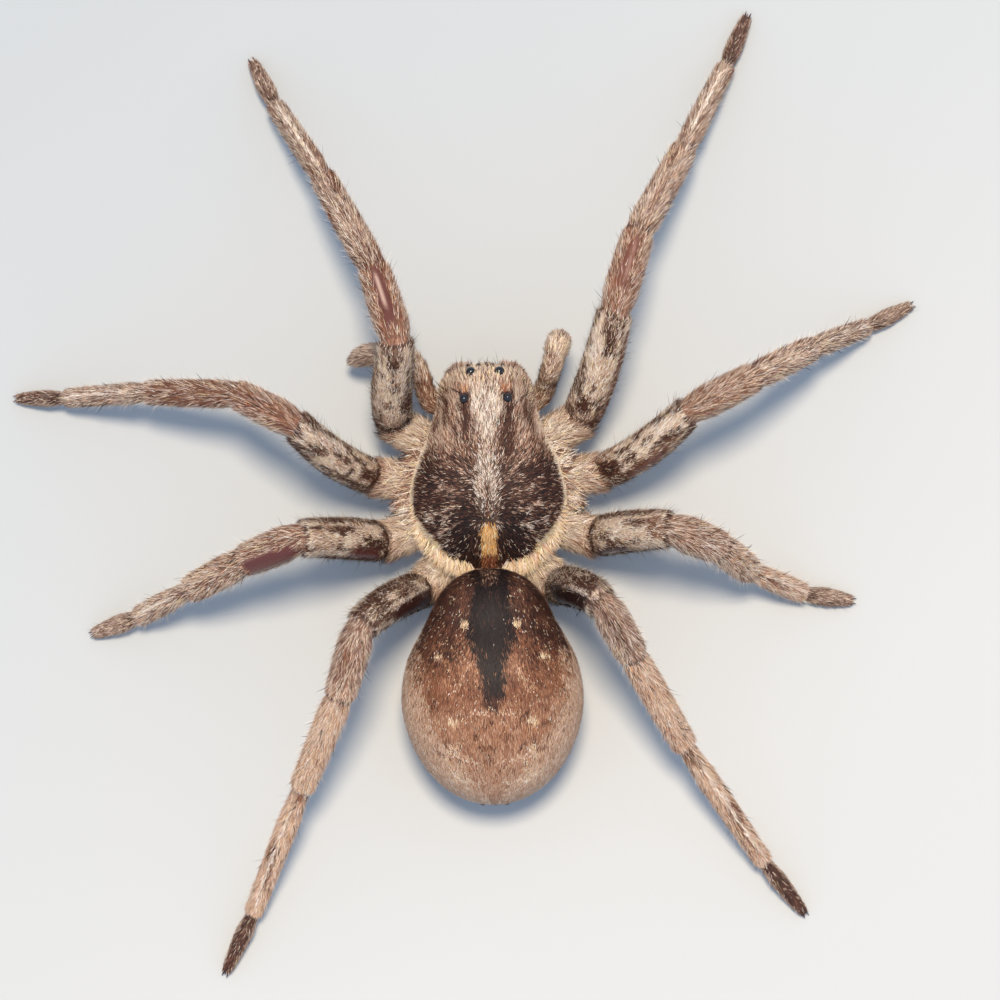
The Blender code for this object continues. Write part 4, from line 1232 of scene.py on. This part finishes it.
def makeFlanks():
    # x = w s cos a to the power 0.8, z = middle + h s sin a, where s rounds the ends off
    f = flanks
    turn = poleToPole(f["rows"], 0.03)
    y = (f["rear"] + f["front"]) / 2 - (f["rear"] - f["front"]) / 2 * np.cos(turn)
    angle = fullTurn(f["columns"], below)[None, :]
    swell = np.sin(turn) ** 0.35
    x = curve(f["halfWidth"], y) * swell * signedPower(np.cos(angle), 0.8)
    z = f["middle"] + curve(f["halfHeight"], y) * swell * np.sin(angle)
    points = gridOf(x, y, z) + waist
    like = points[..., 0]
    mix = shares(like, white=0.32, cream=0.14, pale=0.34, ash=0.12, brown=0.08)
    mix = over(mix, ease(0.45, 0.66, noise(points, 0.75, 45)) * 0.7, brown=0.46, beige=0.46, umber=0.08)
    mix = over(mix, ease(0.5, 0.75, noise(points, 0.4, 41)) * 0.6, brown=0.6, beige=0.3, umber=0.1)
    outward = points - (waist + np.array(f["hairsFrom"]))
    lie = unit(outward * np.array([1, 0.6, 0.2]) + np.array([0, 0.9, 0.2]))
    lie = unit(lie + swirl(points, 0.55) * 1.6)
    middle = ease(0.9, 0.4, np.abs(np.sin(angle)) + 0 * y)
    return surface(points, mix, lie, 1.0, 0.25 + middle)


flankGround = makeFlanks()


def tubeObject(name, ground, shade):
    # one closed part of the skin
    points, faces = closedTube(ground["points"])
    return makeObject(name, points, faces, skinFields(ground, shade), cuticle)


def waistTube():
    # a round bar, a little narrower in the middle
    share = np.linspace(0, 1, flanks["waistRows"])[:, None, None]
    radius = flanks["waistRadius"] - flanks["waistHollow"] * np.sin(share * math.pi)
    centres = waist + np.array(flanks["waistStart"]) + share * np.array(flanks["waistRun"])
    points = roundTube(centres, leftwards, up, radius, flanks["waistColumns"])
    mix = shares(points[..., 0], rust=0.5, umber=0.5)
    return surface(points, mix, backwards + 0 * points, 1.0, 1.0, 0.6)


# Spinnerets: three pairs of blunt cones under the tail.
spinnerets = {
    "spot": (0.885, -0.5 * math.pi),
    # across, back, radius, length
    "cones": ((0.42, 0.4, 0.3, 1.0), (0.42, -0.42, 0.26, 0.9), (0.16, -0.02, 0.15, 0.55)),
    "lean": (0.55, 0.4),
    "spread": 0.18,
    "sunk": 0.25,  # how deep each starts in the abdomen
    "rows": 16,
    "columns": 18,
}


def spinneretTubes():
    # cones that lean out and back from one spot under the tail
    share, around = spinnerets["spot"]
    spot = abdomenPoint(share, around)
    along = unit(abdomenPoint(share + 0.01, around) - abdomenPoint(share - 0.01, around))
    out = np.cross(along, leftwards)
    out = out * -np.sign(out[2])
    tubes = []
    for across, back, radius, length in spinnerets["cones"]:
        for sign in (1, -1):
            foot = spot + leftwards * across * sign + along * back - out * spinnerets["sunk"]
            axis = unit(out + along * (spinnerets["lean"][0] + back * spinnerets["lean"][1])
                        + leftwards * spinnerets["spread"] * sign)
            t = np.linspace(0, 1, spinnerets["rows"])[:, None, None]
            size = radius * (1 - 0.3 * t) * np.sqrt(1 - ease(0.8, 1.02, t) ** 2)
            size = size * (1 - 0.12 * hump(t, 0.72, 0.04))
            first = unit(np.cross(axis, up))
            centres = foot + axis * (length + spinnerets["sunk"]) * t
            points = roundTube(centres, first, np.cross(axis, first), size, spinnerets["columns"]) + waist
            like = points[..., 0]
            mix = shares(like, brown=0.5, umber=0.3, beige=0.2)
            tubes.append(surface(points, mix, axis + 0 * points, 0.6, ease(0.2, 0.4, t[..., 0] + 0 * like)))
    return tubes


spinneretGrounds = spinneretTubes()


def makeSkin():
    # one closed skin: legs, feelers, flanks, waist, abdomen and spinnerets joined by a union
    body = tubeObject("skin", abdomenGround, skinShade["abdomen"])
    others = [tubeObject("flanks", flankGround, skinShade["flanks"])]
    others += [tubeObject("waist", waistTube(), skinShade["waist"])]
    others += [tubeObject(name, ground, skinShade["leg"]) for name, ground in legGrounds.items()]
    others += [tubeObject(name, ground, skinShade["palp"]) for name, ground in palpGrounds.items()]
    others += [tubeObject(f"spinneret_{k}", ground, skinShade["spinneret"])
               for k, ground in enumerate(spinneretGrounds)]
    for k, other in enumerate(others):
        join = body.modifiers.new(f"join {k}", "BOOLEAN")
        join.operation, join.solver, join.object = "UNION", "MANIFOLD", other
    graph = bpy.context.evaluated_depsgraph_get()
    joined = bpy.data.meshes.new_from_object(body.evaluated_get(graph))
    body.modifiers.clear()
    body.data = joined
    joined.name = "skin"
    for other in others:
        bpy.data.objects.remove(other)
    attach(body, "root")
    replaced = ["abdomen", "spinnerets", "pedicel", "palp_left", "palp_right"]
    replaced += [f"{name}_{piece}" for name in legs["names"] for piece in legs["pieces"]]
    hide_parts(*replaced)
    mesh = body.data
    print("skin:", len(mesh.polygons), "faces,", [layer.name for layer in mesh.attributes])
    return body


skin = makeSkin()
skinTree = BVHTree.FromObject(skin, bpy.context.evaluated_depsgraph_get())


def inTheOpen(roots):
    # True for roots that lie on the skin itself and not inside another part of it
    nearest = [skinTree.find_nearest(root * mm)[3] for root in roots]
    return np.array(nearest) < 0.03 * mm


def clearOfBody(roots):
    # the same, looked up only near the body, where legs and flanks meet
    away = np.linalg.norm(roots - (waist + np.array(coats["crowdedMiddle"])), axis=1)
    near = away < coats["crowdedReach"]
    kept = np.ones(len(roots), bool)
    kept[near] = inTheOpen(roots[near])
    return kept


# Eyes: polished domes in the solids' places.
eyes = {"rings": 20, "sides": 32}


def eyeFinish():
    # black glass with faint clouds
    made, shader, start = newMaterial("eye", Roughness=0.08, Coat_Weight=0.25, Coat_Roughness=0.03,
                                      Specular_IOR_Level=0.5)
    place = inMillimetres(start)
    clouds = mottle(place, 5.0)
    plug(shader, "Base Color", clouds.mixColour((0.003, 0.003, 0.004, 1), (0.01, 0.011, 0.015, 1)))
    return made


def makeEyes():
    # balls: x = r sin p cos a, y = r sin p sin a, z = r cos p
    finish = eyeFinish()
    polar, turn = poleToPole(eyes["rings"], 0.05), fullTurn(eyes["sides"])[None, :]
    ball = gridOf(np.sin(polar) * np.cos(turn), np.sin(polar) * np.sin(turn), np.cos(polar))
    for name, centre, radius in eyeList():
        points, faces = closedTube(ball * radius + centre)
        made = makeObject(f"{name}_lens", points, faces, None, finish)
        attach(made, "root")
        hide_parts(name)


makeEyes()
print("eyes made")

# Jaws: the stout hanging pieces, and the fangs folded in under them.
jaws = {
    "axis": ((4.28, 1.1, -8.72), (3.2, 1.12, -8.86), (2.2, 1.08, -8.8), (1.45, 1.0, -8.66)),  # z, x, y
    "half": ((0.88, 0.92), (0.98, 1.06), (0.88, 0.94), (0.6, 0.62)),
    "coatDepth": 0.1,
    "rows": 44,
    "columns": 40,
    "fangStart": (1.28, -9.0, 1.2),
    "fangEnd": (0.3, -8.72, 0.75),
    "fangDrop": 0.28,
    "fangRadius": (0.25, 0.05),
    "fangRows": 26,
    "fangColumns": 20,
}


def hornFinish(name, dark, light, roughness):
    # from dark to light in clouds, with a fine grain in gloss and height
    made, shader, start = newMaterial(name, Specular_IOR_Level=0.55, Coat_Roughness=0.15)
    place = inMillimetres(start)
    clouds, grain = mottle(place, 2.4, 4.0), mottle(place, 14.0)
    plug(shader, "Base Color", clouds.mixColour((*dark, 1), (*light, 1)))
    plug(shader, "Roughness", grain * 0.15 + roughness)
    plug(shader, "Normal", bumps(grain, 0.02))
    return made


horn = hornFinish("horn", paint(30, 16, 14), paint(72, 36, 28), 0.24)


def makeJaws():
    # ovals stacked from top to bottom; each fang is a cone along a sagging line
    j = jaws
    t = np.linspace(0, 1, j["rows"])
    grounds = {}
    z, x, y = (spaced(column, t) for column in zip(*j["axis"]))
    halfX, halfY = (spaced(column, t) - j["coatDepth"] for column in zip(*j["half"]))
    rounded = np.sqrt(1 - ease(0.86, 1.04, t) ** 2)
    z = z - 0.1 * ease(0.8, 1.0, t) + 0.1
    angle = fullTurn(j["columns"])[None, :]
    start, end = np.array(j["fangStart"]), np.array(j["fangEnd"])
    level = unit(np.cross(end - start, up))
    rise = unit(np.cross(level, end - start))
    for side, sign in (("left", 1), ("right", -1)):
        points = gridOf(
            sign * (x[:, None] + halfX[:, None] * rounded[:, None] * np.cos(angle)),
            y[:, None] + halfY[:, None] * rounded[:, None] * np.sin(angle),
            z[:, None],
        ) + waist
        facing = -np.sin(angle) + 0 * points[..., 0]  # 1 in front
        low = ease(0.45, 0.95, t)[:, None] + 0 * facing
        mix = shares(facing, beige=0.4, brown=0.3, pale=0.2, umber=0.1)
        mix = over(mix, low, umber=0.6, black=0.25, brown=0.15)
        ground = surface(points, mix, -up + 0 * points, 1.0, 0.4 + 0.6 * ease(-0.4, 0.4, facing),
                         0.25 * low)
        solid, faces = closedTube(points)
        basal = makeObject(f"jaw_{side}", solid, faces, skinFields(ground, skinShade["jaw"]), cuticle)
        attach(basal, "root")
        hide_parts(f"chelicera_{side}")
        grounds[side] = ground
        s = np.linspace(0, 1, j["fangRows"])[:, None, None]
        centre = start + (end - start) * s - up * j["fangDrop"] * np.sin(math.pi * s) * (1 - s)
        radius = (j["fangRadius"][0] * (1 - s) ** 0.8 + j["fangRadius"][1] * s) * 0.95
        points = roundTube(centre, level, rise, radius, j["fangColumns"]) * np.array([sign, 1, 1]) + waist
        solid, faces = closedTube(points)
        fang = makeObject(f"fang_blade_{side}", solid, faces, None, horn)
        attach(fang, "root")
        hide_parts(f"fang_{side}")
    return grounds


jawGrounds = makeJaws()

# Underside: the sternum's shield and the mouthparts in front of it.
underside = {
    "outline": ((-6.3, 0.75), (-5.3, 0.9), (-4.6, 1.3), (-3.1, 1.42), (-1.6, 1.15), (-0.5, 0.6)),
    "low": 2.28,
    "high": 3.6,
    "rows": 50,
    "columns": 56,
    "mouthFront": -7.45,
    "mouthRear": -6.4,
    "mouthLow": 2.5,
    # across, along, half width, half length, how much higher it hangs
    "lobes": ((0.72, 0.0, 0.56, 0.6, 0.0), (-0.72, 0.0, 0.56, 0.6, 0.0), (0.0, 0.25, 0.34, 0.42, 0.15)),
    "lobeHeight": 0.75,  # half of it
    "lobeRows": 24,
    "lobeColumns": 28,
    "lobeColour": (86, 50, 38),
}


def shieldGround():
    # a low dome hanging under a flat top: z = high - (high - low) |sin a|^0.6
    u = underside
    turn, angle = poleToPole(u["rows"], 0.05), fullTurn(u["columns"])[None, :]
    front, rear = u["outline"][0][0] - 0.1, u["outline"][-1][0] + 0.2
    y = (front + rear) / 2 - (rear - front) / 2 * np.cos(turn)
    size = np.sin(turn) ** 0.4
    x = curve(u["outline"], y) * size * signedPower(np.cos(angle), 0.8)
    drop = np.where(np.sin(angle) < 0, u["high"] - u["low"], 0.2)
    z = u["high"] + drop * signedPower(np.sin(angle), 0.6) * size
    points = gridOf(x, y, z) + waist
    mix = shares(points[..., 0], umber=0.5, black=0.25, brown=0.25)
    return surface(points, mix, backwards + 0 * points, 1.0, ease(3.2, 2.9, points[..., 2]), 0.2)


def makeUnderside():
    # the shield, and lobes: x = w sin(p)^0.7 cos a, y = l sin(p)^0.7 sin a, z = h (1 - cos p)
    u = underside
    ground = shieldGround()
    points, faces = closedTube(ground["points"])
    shield = makeObject("sternum_shield", points, faces, skinFields(ground, skinShade["sternum"]), cuticle)
    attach(shield, "root")
    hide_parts("sternum")
    # mouthparts: a lobe on each side and a smaller lip between them
    pieces, surfaces = [], []
    middle = (u["mouthFront"] + u["mouthRear"]) / 2
    count = 0
    polar, turn = poleToPole(u["lobeRows"], 0.06), fullTurn(u["lobeColumns"])[None, :]
    for across, along, halfX, halfY, rise in u["lobes"]:
        lobe = gridOf(
            across + halfX * np.sin(polar) ** 0.7 * np.cos(turn),
            middle + along + halfY * np.sin(polar) ** 0.7 * np.sin(turn),
            u["mouthLow"] + rise + u["lobeHeight"] * (1 - np.cos(polar)),
        ) + waist
        lobePoints, lobeFaces = closedTube(lobe)
        pieces.append(lobePoints)
        surfaces += [f + count for f in lobeFaces]
        count += len(lobePoints)
    points = np.concatenate(pieces)
    tone = np.tile(paint(*u["lobeColour"]), (len(points), 1))
    mouth = makeObject("mouth_lobes", points, surfaces, {"tone": tone, "bare": np.full(len(points), 0.4)},
                       cuticle)
    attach(mouth, "root")
    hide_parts("mouthparts")
    return ground


shieldSurface = makeUnderside()
print("jaws and underside made")

# Claws: two dark hooks at the end of each toe.
claws = {
    "length": 0.36,
    "radius": 0.045,
    "tipRadius": 0.008,
    "apart": 0.09,
    "sunk": 0.08,  # how deep each starts in the toe
    "rise": 0.09,
    "drop": 0.12,
    "lowest": 0.01,
    "rows": 12,
    "columns": 8,
}


def makeClaws():
    # cones whose line rises by a sine and bends down again by a square
    c = claws
    allPoints, allFaces, count = [], [], 0
    for ground in legGrounds.values():
        tip = ground["points"][-1, :-1].mean(0)
        heading = unit(ground["lie"][-6, 0] * np.array([1, 1, 0.3]))
        level = unit(np.cross(heading, up))
        for sign in (1, -1):
            s = np.linspace(0, 1, c["rows"])[:, None, None]
            centre = tip - heading * c["sunk"] + level * c["apart"] * sign * (1 + 0.5 * s)
            centre = centre + heading * c["length"] * s
            centre = centre + up * (c["rise"] * np.sin(math.pi * 0.8 * s) - c["drop"] * s**2)
            radius = c["radius"] * (1 - s) ** 0.7 + c["tipRadius"]
            points = roundTube(centre, level, up, radius, c["columns"])
            points[..., 2] = points[..., 2].clip(c["lowest"])
            hook, faces = closedTube(points)
            allPoints.append(hook)
            allFaces += [f + count for f in faces]
            count += len(hook)
    made = makeObject("claws", np.concatenate(allPoints), allFaces, None, horn)
    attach(made, "root")


makeClaws()

# Coats. Lengths and widths in mm, angles in degrees.
coats = {
    "crowdedMiddle": (0, -3.5, 3.3),  # hairs this near to here may start inside another part
    "crowdedReach": 6.5,
    "carapace": dict(count=46000, length=0.4, width=0.04, lift=13, yaw=15, strays=0.05, clump=0.15,
                     vary=0.2),
    "abdomen": dict(count=65500, length=0.28, width=0.046, lift=8, yaw=10, strays=0.01, clump=0.3,
                    vary=0.1),
    "fleck": dict(count=3000, length=0.12, width=0.065, lift=12, yaw=20, clump=0.1, vary=0.1),
    "leg": dict(count=22400, length=0.42, width=0.036, lift=14, yaw=9, strays=0.08, strayHair="pale",
                clump=0.18, vary=0.16, fluffy=0.4, depth=0.7),
    "palp": dict(count=5500, length=0.4, width=0.04, lift=16, yaw=12, strays=0.12, clump=0.3, fluffy=0.3),
    "flanks": dict(count=9000, length=0.9, width=0.042, lift=24, yaw=26, droop=0.16, clump=0.3),
    "fringe": dict(count=4600, length=0.6, width=0.042, lift=4, yaw=22, droop=0.2, clump=0.2),
    "brow": dict(count=1600, length=0.48, width=0.034, lift=20, yaw=24, droop=0.06, clump=0.2),
    "halo": dict(count=1500, length=0.8, width=0.02, lift=32, yaw=16, clump=0.0, fluffy=0.4),
    "bristle": dict(count=60, length=0.85, width=0.036, lift=38, yaw=22, droop=0.06, clump=0.0),
    "legBristle": dict(count=46, length=0.85, width=0.036, lift=38, yaw=22, droop=0.06, clump=0.0),
    "fluff": dict(count=800, length=0.66, width=0.04, lift=24, yaw=30, droop=0.14, clump=0.3),
    "jaw": dict(count=3400, length=0.42, width=0.045, lift=16, yaw=14, strays=0.1, clump=0.4),
    "underside": dict(count=3000, length=0.4, width=0.045, lift=18, yaw=16, clump=0.4),
    "spinneret": dict(count=400, length=0.3, width=0.04, lift=20, yaw=14, clump=0.3),
}


def halfOf(ground, low, high):
    # the rows of a surface from one share of its length to another
    rows = ground["points"].shape[0]
    part = slice(int(low * (rows - 1)), int(high * (rows - 1)) + 1)
    return {key: value[part] for key, value in ground.items()}


def abdomenFlecks():
    # short, broad pale tufts in the spots, bows and flecks of the abdomen
    ground = dict(abdomenGround)
    ground["density"] = ground["bright"]
    ground["shares"] = shares(ground["bright"], white=0.4, cream=0.3, peach=0.3)
    return ground


def edgeFringe():
    # the carapace's edge alone, where cream hair stands out sideways and back
    ground = dict(carapaceGround)
    x, y, z = np.moveaxis(ground["points"] - waist, -1, 0)
    ground["density"] = ease(5.15, 4.8, z) * ease(4.5, 4.62, z) * ease(-6.4, -5.2, y) * (np.abs(x) > 0.9)
    outward = unit(ground["normals"] * np.array([1.0, 1.0, 0.0]))
    ground["lie"] = unit(outward + backwards * (0.3 + 0.6 * ease(-3.0, -1.0, y))[..., None])
    ground["normals"] = unit(outward * 0.25 + up)
    ground["shares"] = shares(x, cream=0.46, pale=0.24, white=0.06, tan=0.16, brown=0.08)
    ground["length"] = 0.32 + 0.85 * ease(-3.4, -1.2, y)
    return ground


def browFringe():
    # the head's front edge, where pale and dark hair stands out forward over the eyes
    ground = dict(carapaceGround)
    x, y, z = np.moveaxis(ground["points"] - waist, -1, 0)
    ground["density"] = ease(-8.7, -9.0, y) * ease(6.2, 6.5, z)
    ground["density"] = ground["density"] + 0.6 * ease(-7.4, -8.2, y) * hump(z, 6.0, 0.5)
    ground["lie"] = unit(np.array([0.0, -1.0, 0.1]) + ground["normals"] * np.array([0.8, 0.4, 0.0]))
    ground["shares"] = shares(x, cream=0.2, pale=0.4, umber=0.2, beige=0.2)
    ground["length"] = np.ones_like(x)
    ground["bare"] = 0.5 * ground["bare"]
    return ground


def headBristles():
    # the same place and a few on the head, for dark bristles
    ground = browFringe()
    y = ground["points"][..., 1] - waist[1]
    ground["density"] = ground["density"] + 0.05 * ease(-5.5, -7.0, y)
    ground["shares"] = shares(y, black=0.8, umber=0.2)
    return ground


def coxaFluff(ground):
    # the first length of a leg, with longer hair that stands out more
    loose = dict(ground)
    loose["density"] = ease(0.25, 0.4, ground["place"]) * ease(1.05, 0.8, ground["place"])
    loose["length"] = 1.0 + 0 * ground["length"]
    most = np.full(ground["length"].shape, 0.7)
    loose["shares"] = over(ground["shares"], most, white=0.16, cream=0.2, pale=0.34, ash=0.16, brown=0.14)
    return loose


def legHalo(ground):
    # fine pale hairs that stand out all along the leg
    thin = dict(ground)
    place = ground["place"]
    thin["density"] = ease(0.9, 1.1, place) * (0.4 + 0.6 * ease(1.0, 2.2, place))
    thin["density"] = thin["density"] * (1 - 0.8 * ease(4.9, 5.1, place))
    thin["shares"] = shares(ground["length"], white=0.3, pale=0.4, cream=0.16, brown=0.14)
    thin["length"] = 1.1 - 0.09 * place
    return thin


def legBristles(ground):
    # dark bristles on the patella, the tibia and the metatarsus
    few = dict(ground)
    place, height = ground["place"], np.cos(np.radians(ground["around"]))
    few["density"] = ease(1.4, 2.0, place) * ease(5.0, 4.6, place) * ease(-0.8, 0.0, height)
    few["shares"] = shares(ground["length"], black=0.7, umber=0.3)
    few["length"] = 0.8 + 0 * ground["length"]
    return few


def growAll():
    # in the order in which they are grown: name, ground, look, slot, and what tells which roots are kept
    c = coats
    rows = [
        ("coat_carapace", carapaceGround, c["carapace"], "carapace_coat"),
        ("fringe_carapace", edgeFringe(), c["fringe"], "pale_coat"),
        ("fringe_brow", browFringe(), c["brow"], "carapace_coat"),
        ("bristles_head", headBristles(), c["bristle"], "carapace_coat"),
    ]
    for part, low, high in (("front", 0.0, 0.52), ("rear", 0.52, 1.0)):
        look = dict(c["abdomen"], count=int(c["abdomen"]["count"] * (high - low)))
        rows.append((f"coat_abdomen_{part}", halfOf(abdomenGround, low, high), look, "abdomen_coat"))
    rows.append(("flecks_abdomen", abdomenFlecks(), c["fleck"], "abdomen_coat"))
    for name, ground in legGrounds.items():
        rows += [
            (f"coat_{name}", ground, c["leg"], "leg_coat", clearOfBody),
            (f"fluff_{name}", coxaFluff(ground), c["fluff"], "pale_coat", clearOfBody),
            (f"halo_{name}", legHalo(ground), c["halo"], "leg_coat", clearOfBody),
            (f"bristles_{name}", legBristles(ground), c["legBristle"], "leg_coat"),
        ]
    rows += [(f"coat_{name}", ground, c["palp"], "leg_coat") for name, ground in palpGrounds.items()]
    rows.append(("coat_flanks", flankGround, c["flanks"], "pale_coat", inTheOpen))
    rows += [(f"coat_jaw_{side}", ground, c["jaw"], "dark_horn") for side, ground in jawGrounds.items()]
    rows.append(("coat_sternum", shieldSurface, c["underside"], "dark_horn"))
    rows += [(f"coat_spinneret_{k}", ground, c["spinneret"], "abdomen_coat")
             for k, ground in enumerate(spinneretGrounds)]
    for name, ground, look, slot, *keep in rows:
        growCoat(name, ground, look, hairCoat, *keep)


growAll()
print("coats grown")

# Camera straight above, broad key light that leans from the head, blue light from all round.
studio = {
    "cameraPlace": (-1.64, 0.294, 350.0),
    "cameraTurn": 178.7,
    "viewWidth": 50.0,
    "viewHeight": 4.0,  # the height above the floor at which the view is that wide
    "keyPlace": (0, -100.0, 400.0),
    "keyTilt": 13.5,
    "keyWidth": 11.5,  # degrees
    "keyStrength": 3.52,
    "keyColour": (1.0, 0.87, 0.7),
    "skyColour": (0.52, 0.66, 0.89),
    "skyStrength": 0.95,
    "floorColour": (0.543, 0.542, 0.526),
    "floorPaintedShade": (0.442, 0.458, 0.462),
    "floorTurn": (-30.0, 18.0),  # mm over which the painted shade makes it dimmer, ahead and to the left
    "floorHalf": 20000.0,  # from its middle to each side
}


def makeStudio():
    # camera, lamp, sky, and a floor with painted shade that makes it a little dimmer towards one corner
    s = studio
    lens = bpy.data.cameras.new("camera")
    lens.sensor_width = 36.0
    lens.angle = 2 * math.atan(s["viewWidth"] / 2 / (s["cameraPlace"][2] - s["viewHeight"]))
    lens.clip_start, lens.clip_end = 0.01, 20.0
    camera = bpy.data.objects.new("camera", lens)
    camera.location = [v * mm for v in s["cameraPlace"]]
    camera.rotation_euler = (0, 0, math.radians(s["cameraTurn"]))
    bpy.context.scene.collection.objects.link(camera)
    bpy.context.scene.camera = camera
    lamp = bpy.data.lights.new("key", "SUN")
    lamp.energy, lamp.color, lamp.angle = s["keyStrength"], s["keyColour"], math.radians(s["keyWidth"])
    key = bpy.data.objects.new("key", lamp)
    key.rotation_euler = (math.radians(s["keyTilt"]), 0, 0)
    key.location = [v * mm for v in s["keyPlace"]]
    bpy.context.scene.collection.objects.link(key)
    world = bpy.data.worlds.new("sky")
    world.use_nodes = True
    sky = world.node_tree.nodes["Background"]
    sky.inputs["Color"].default_value = (*s["skyColour"], 1)
    sky.inputs["Strength"].default_value = s["skyStrength"]
    bpy.context.scene.world = world
    finish, shader, start = newMaterial("floor", Roughness=0.6, Specular_IOR_Level=0.2)
    place = inMillimetres(start)
    # painted shade: the floor's colour darkens towards one corner, standing in for light that is weaker
    # there
    slope = start.node("ShaderNodeVectorMath", {"operation": "DOT_PRODUCT"},
                       {0: place, 1: (-0.5, 0.8, 0)}, "Value")
    bright = start.node("ShaderNodeMapRange", None,
                        {"Value": slope, "From Min": s["floorTurn"][0], "From Max": s["floorTurn"][1]})
    plug(shader, "Base Color", bright.mixColour((*s["floorPaintedShade"], 1), (*s["floorColour"], 1)))
    points = np.array([[-1, -1, 0], [1, -1, 0], [1, 1, 0], [-1, 1, 0]]) * s["floorHalf"]
    floor = makeObject("floor", points, [np.array([[0, 1, 2, 3]])], None, finish, smooth=False)


makeStudio()
bpy.context.scene.view_settings.view_transform = "Standard"
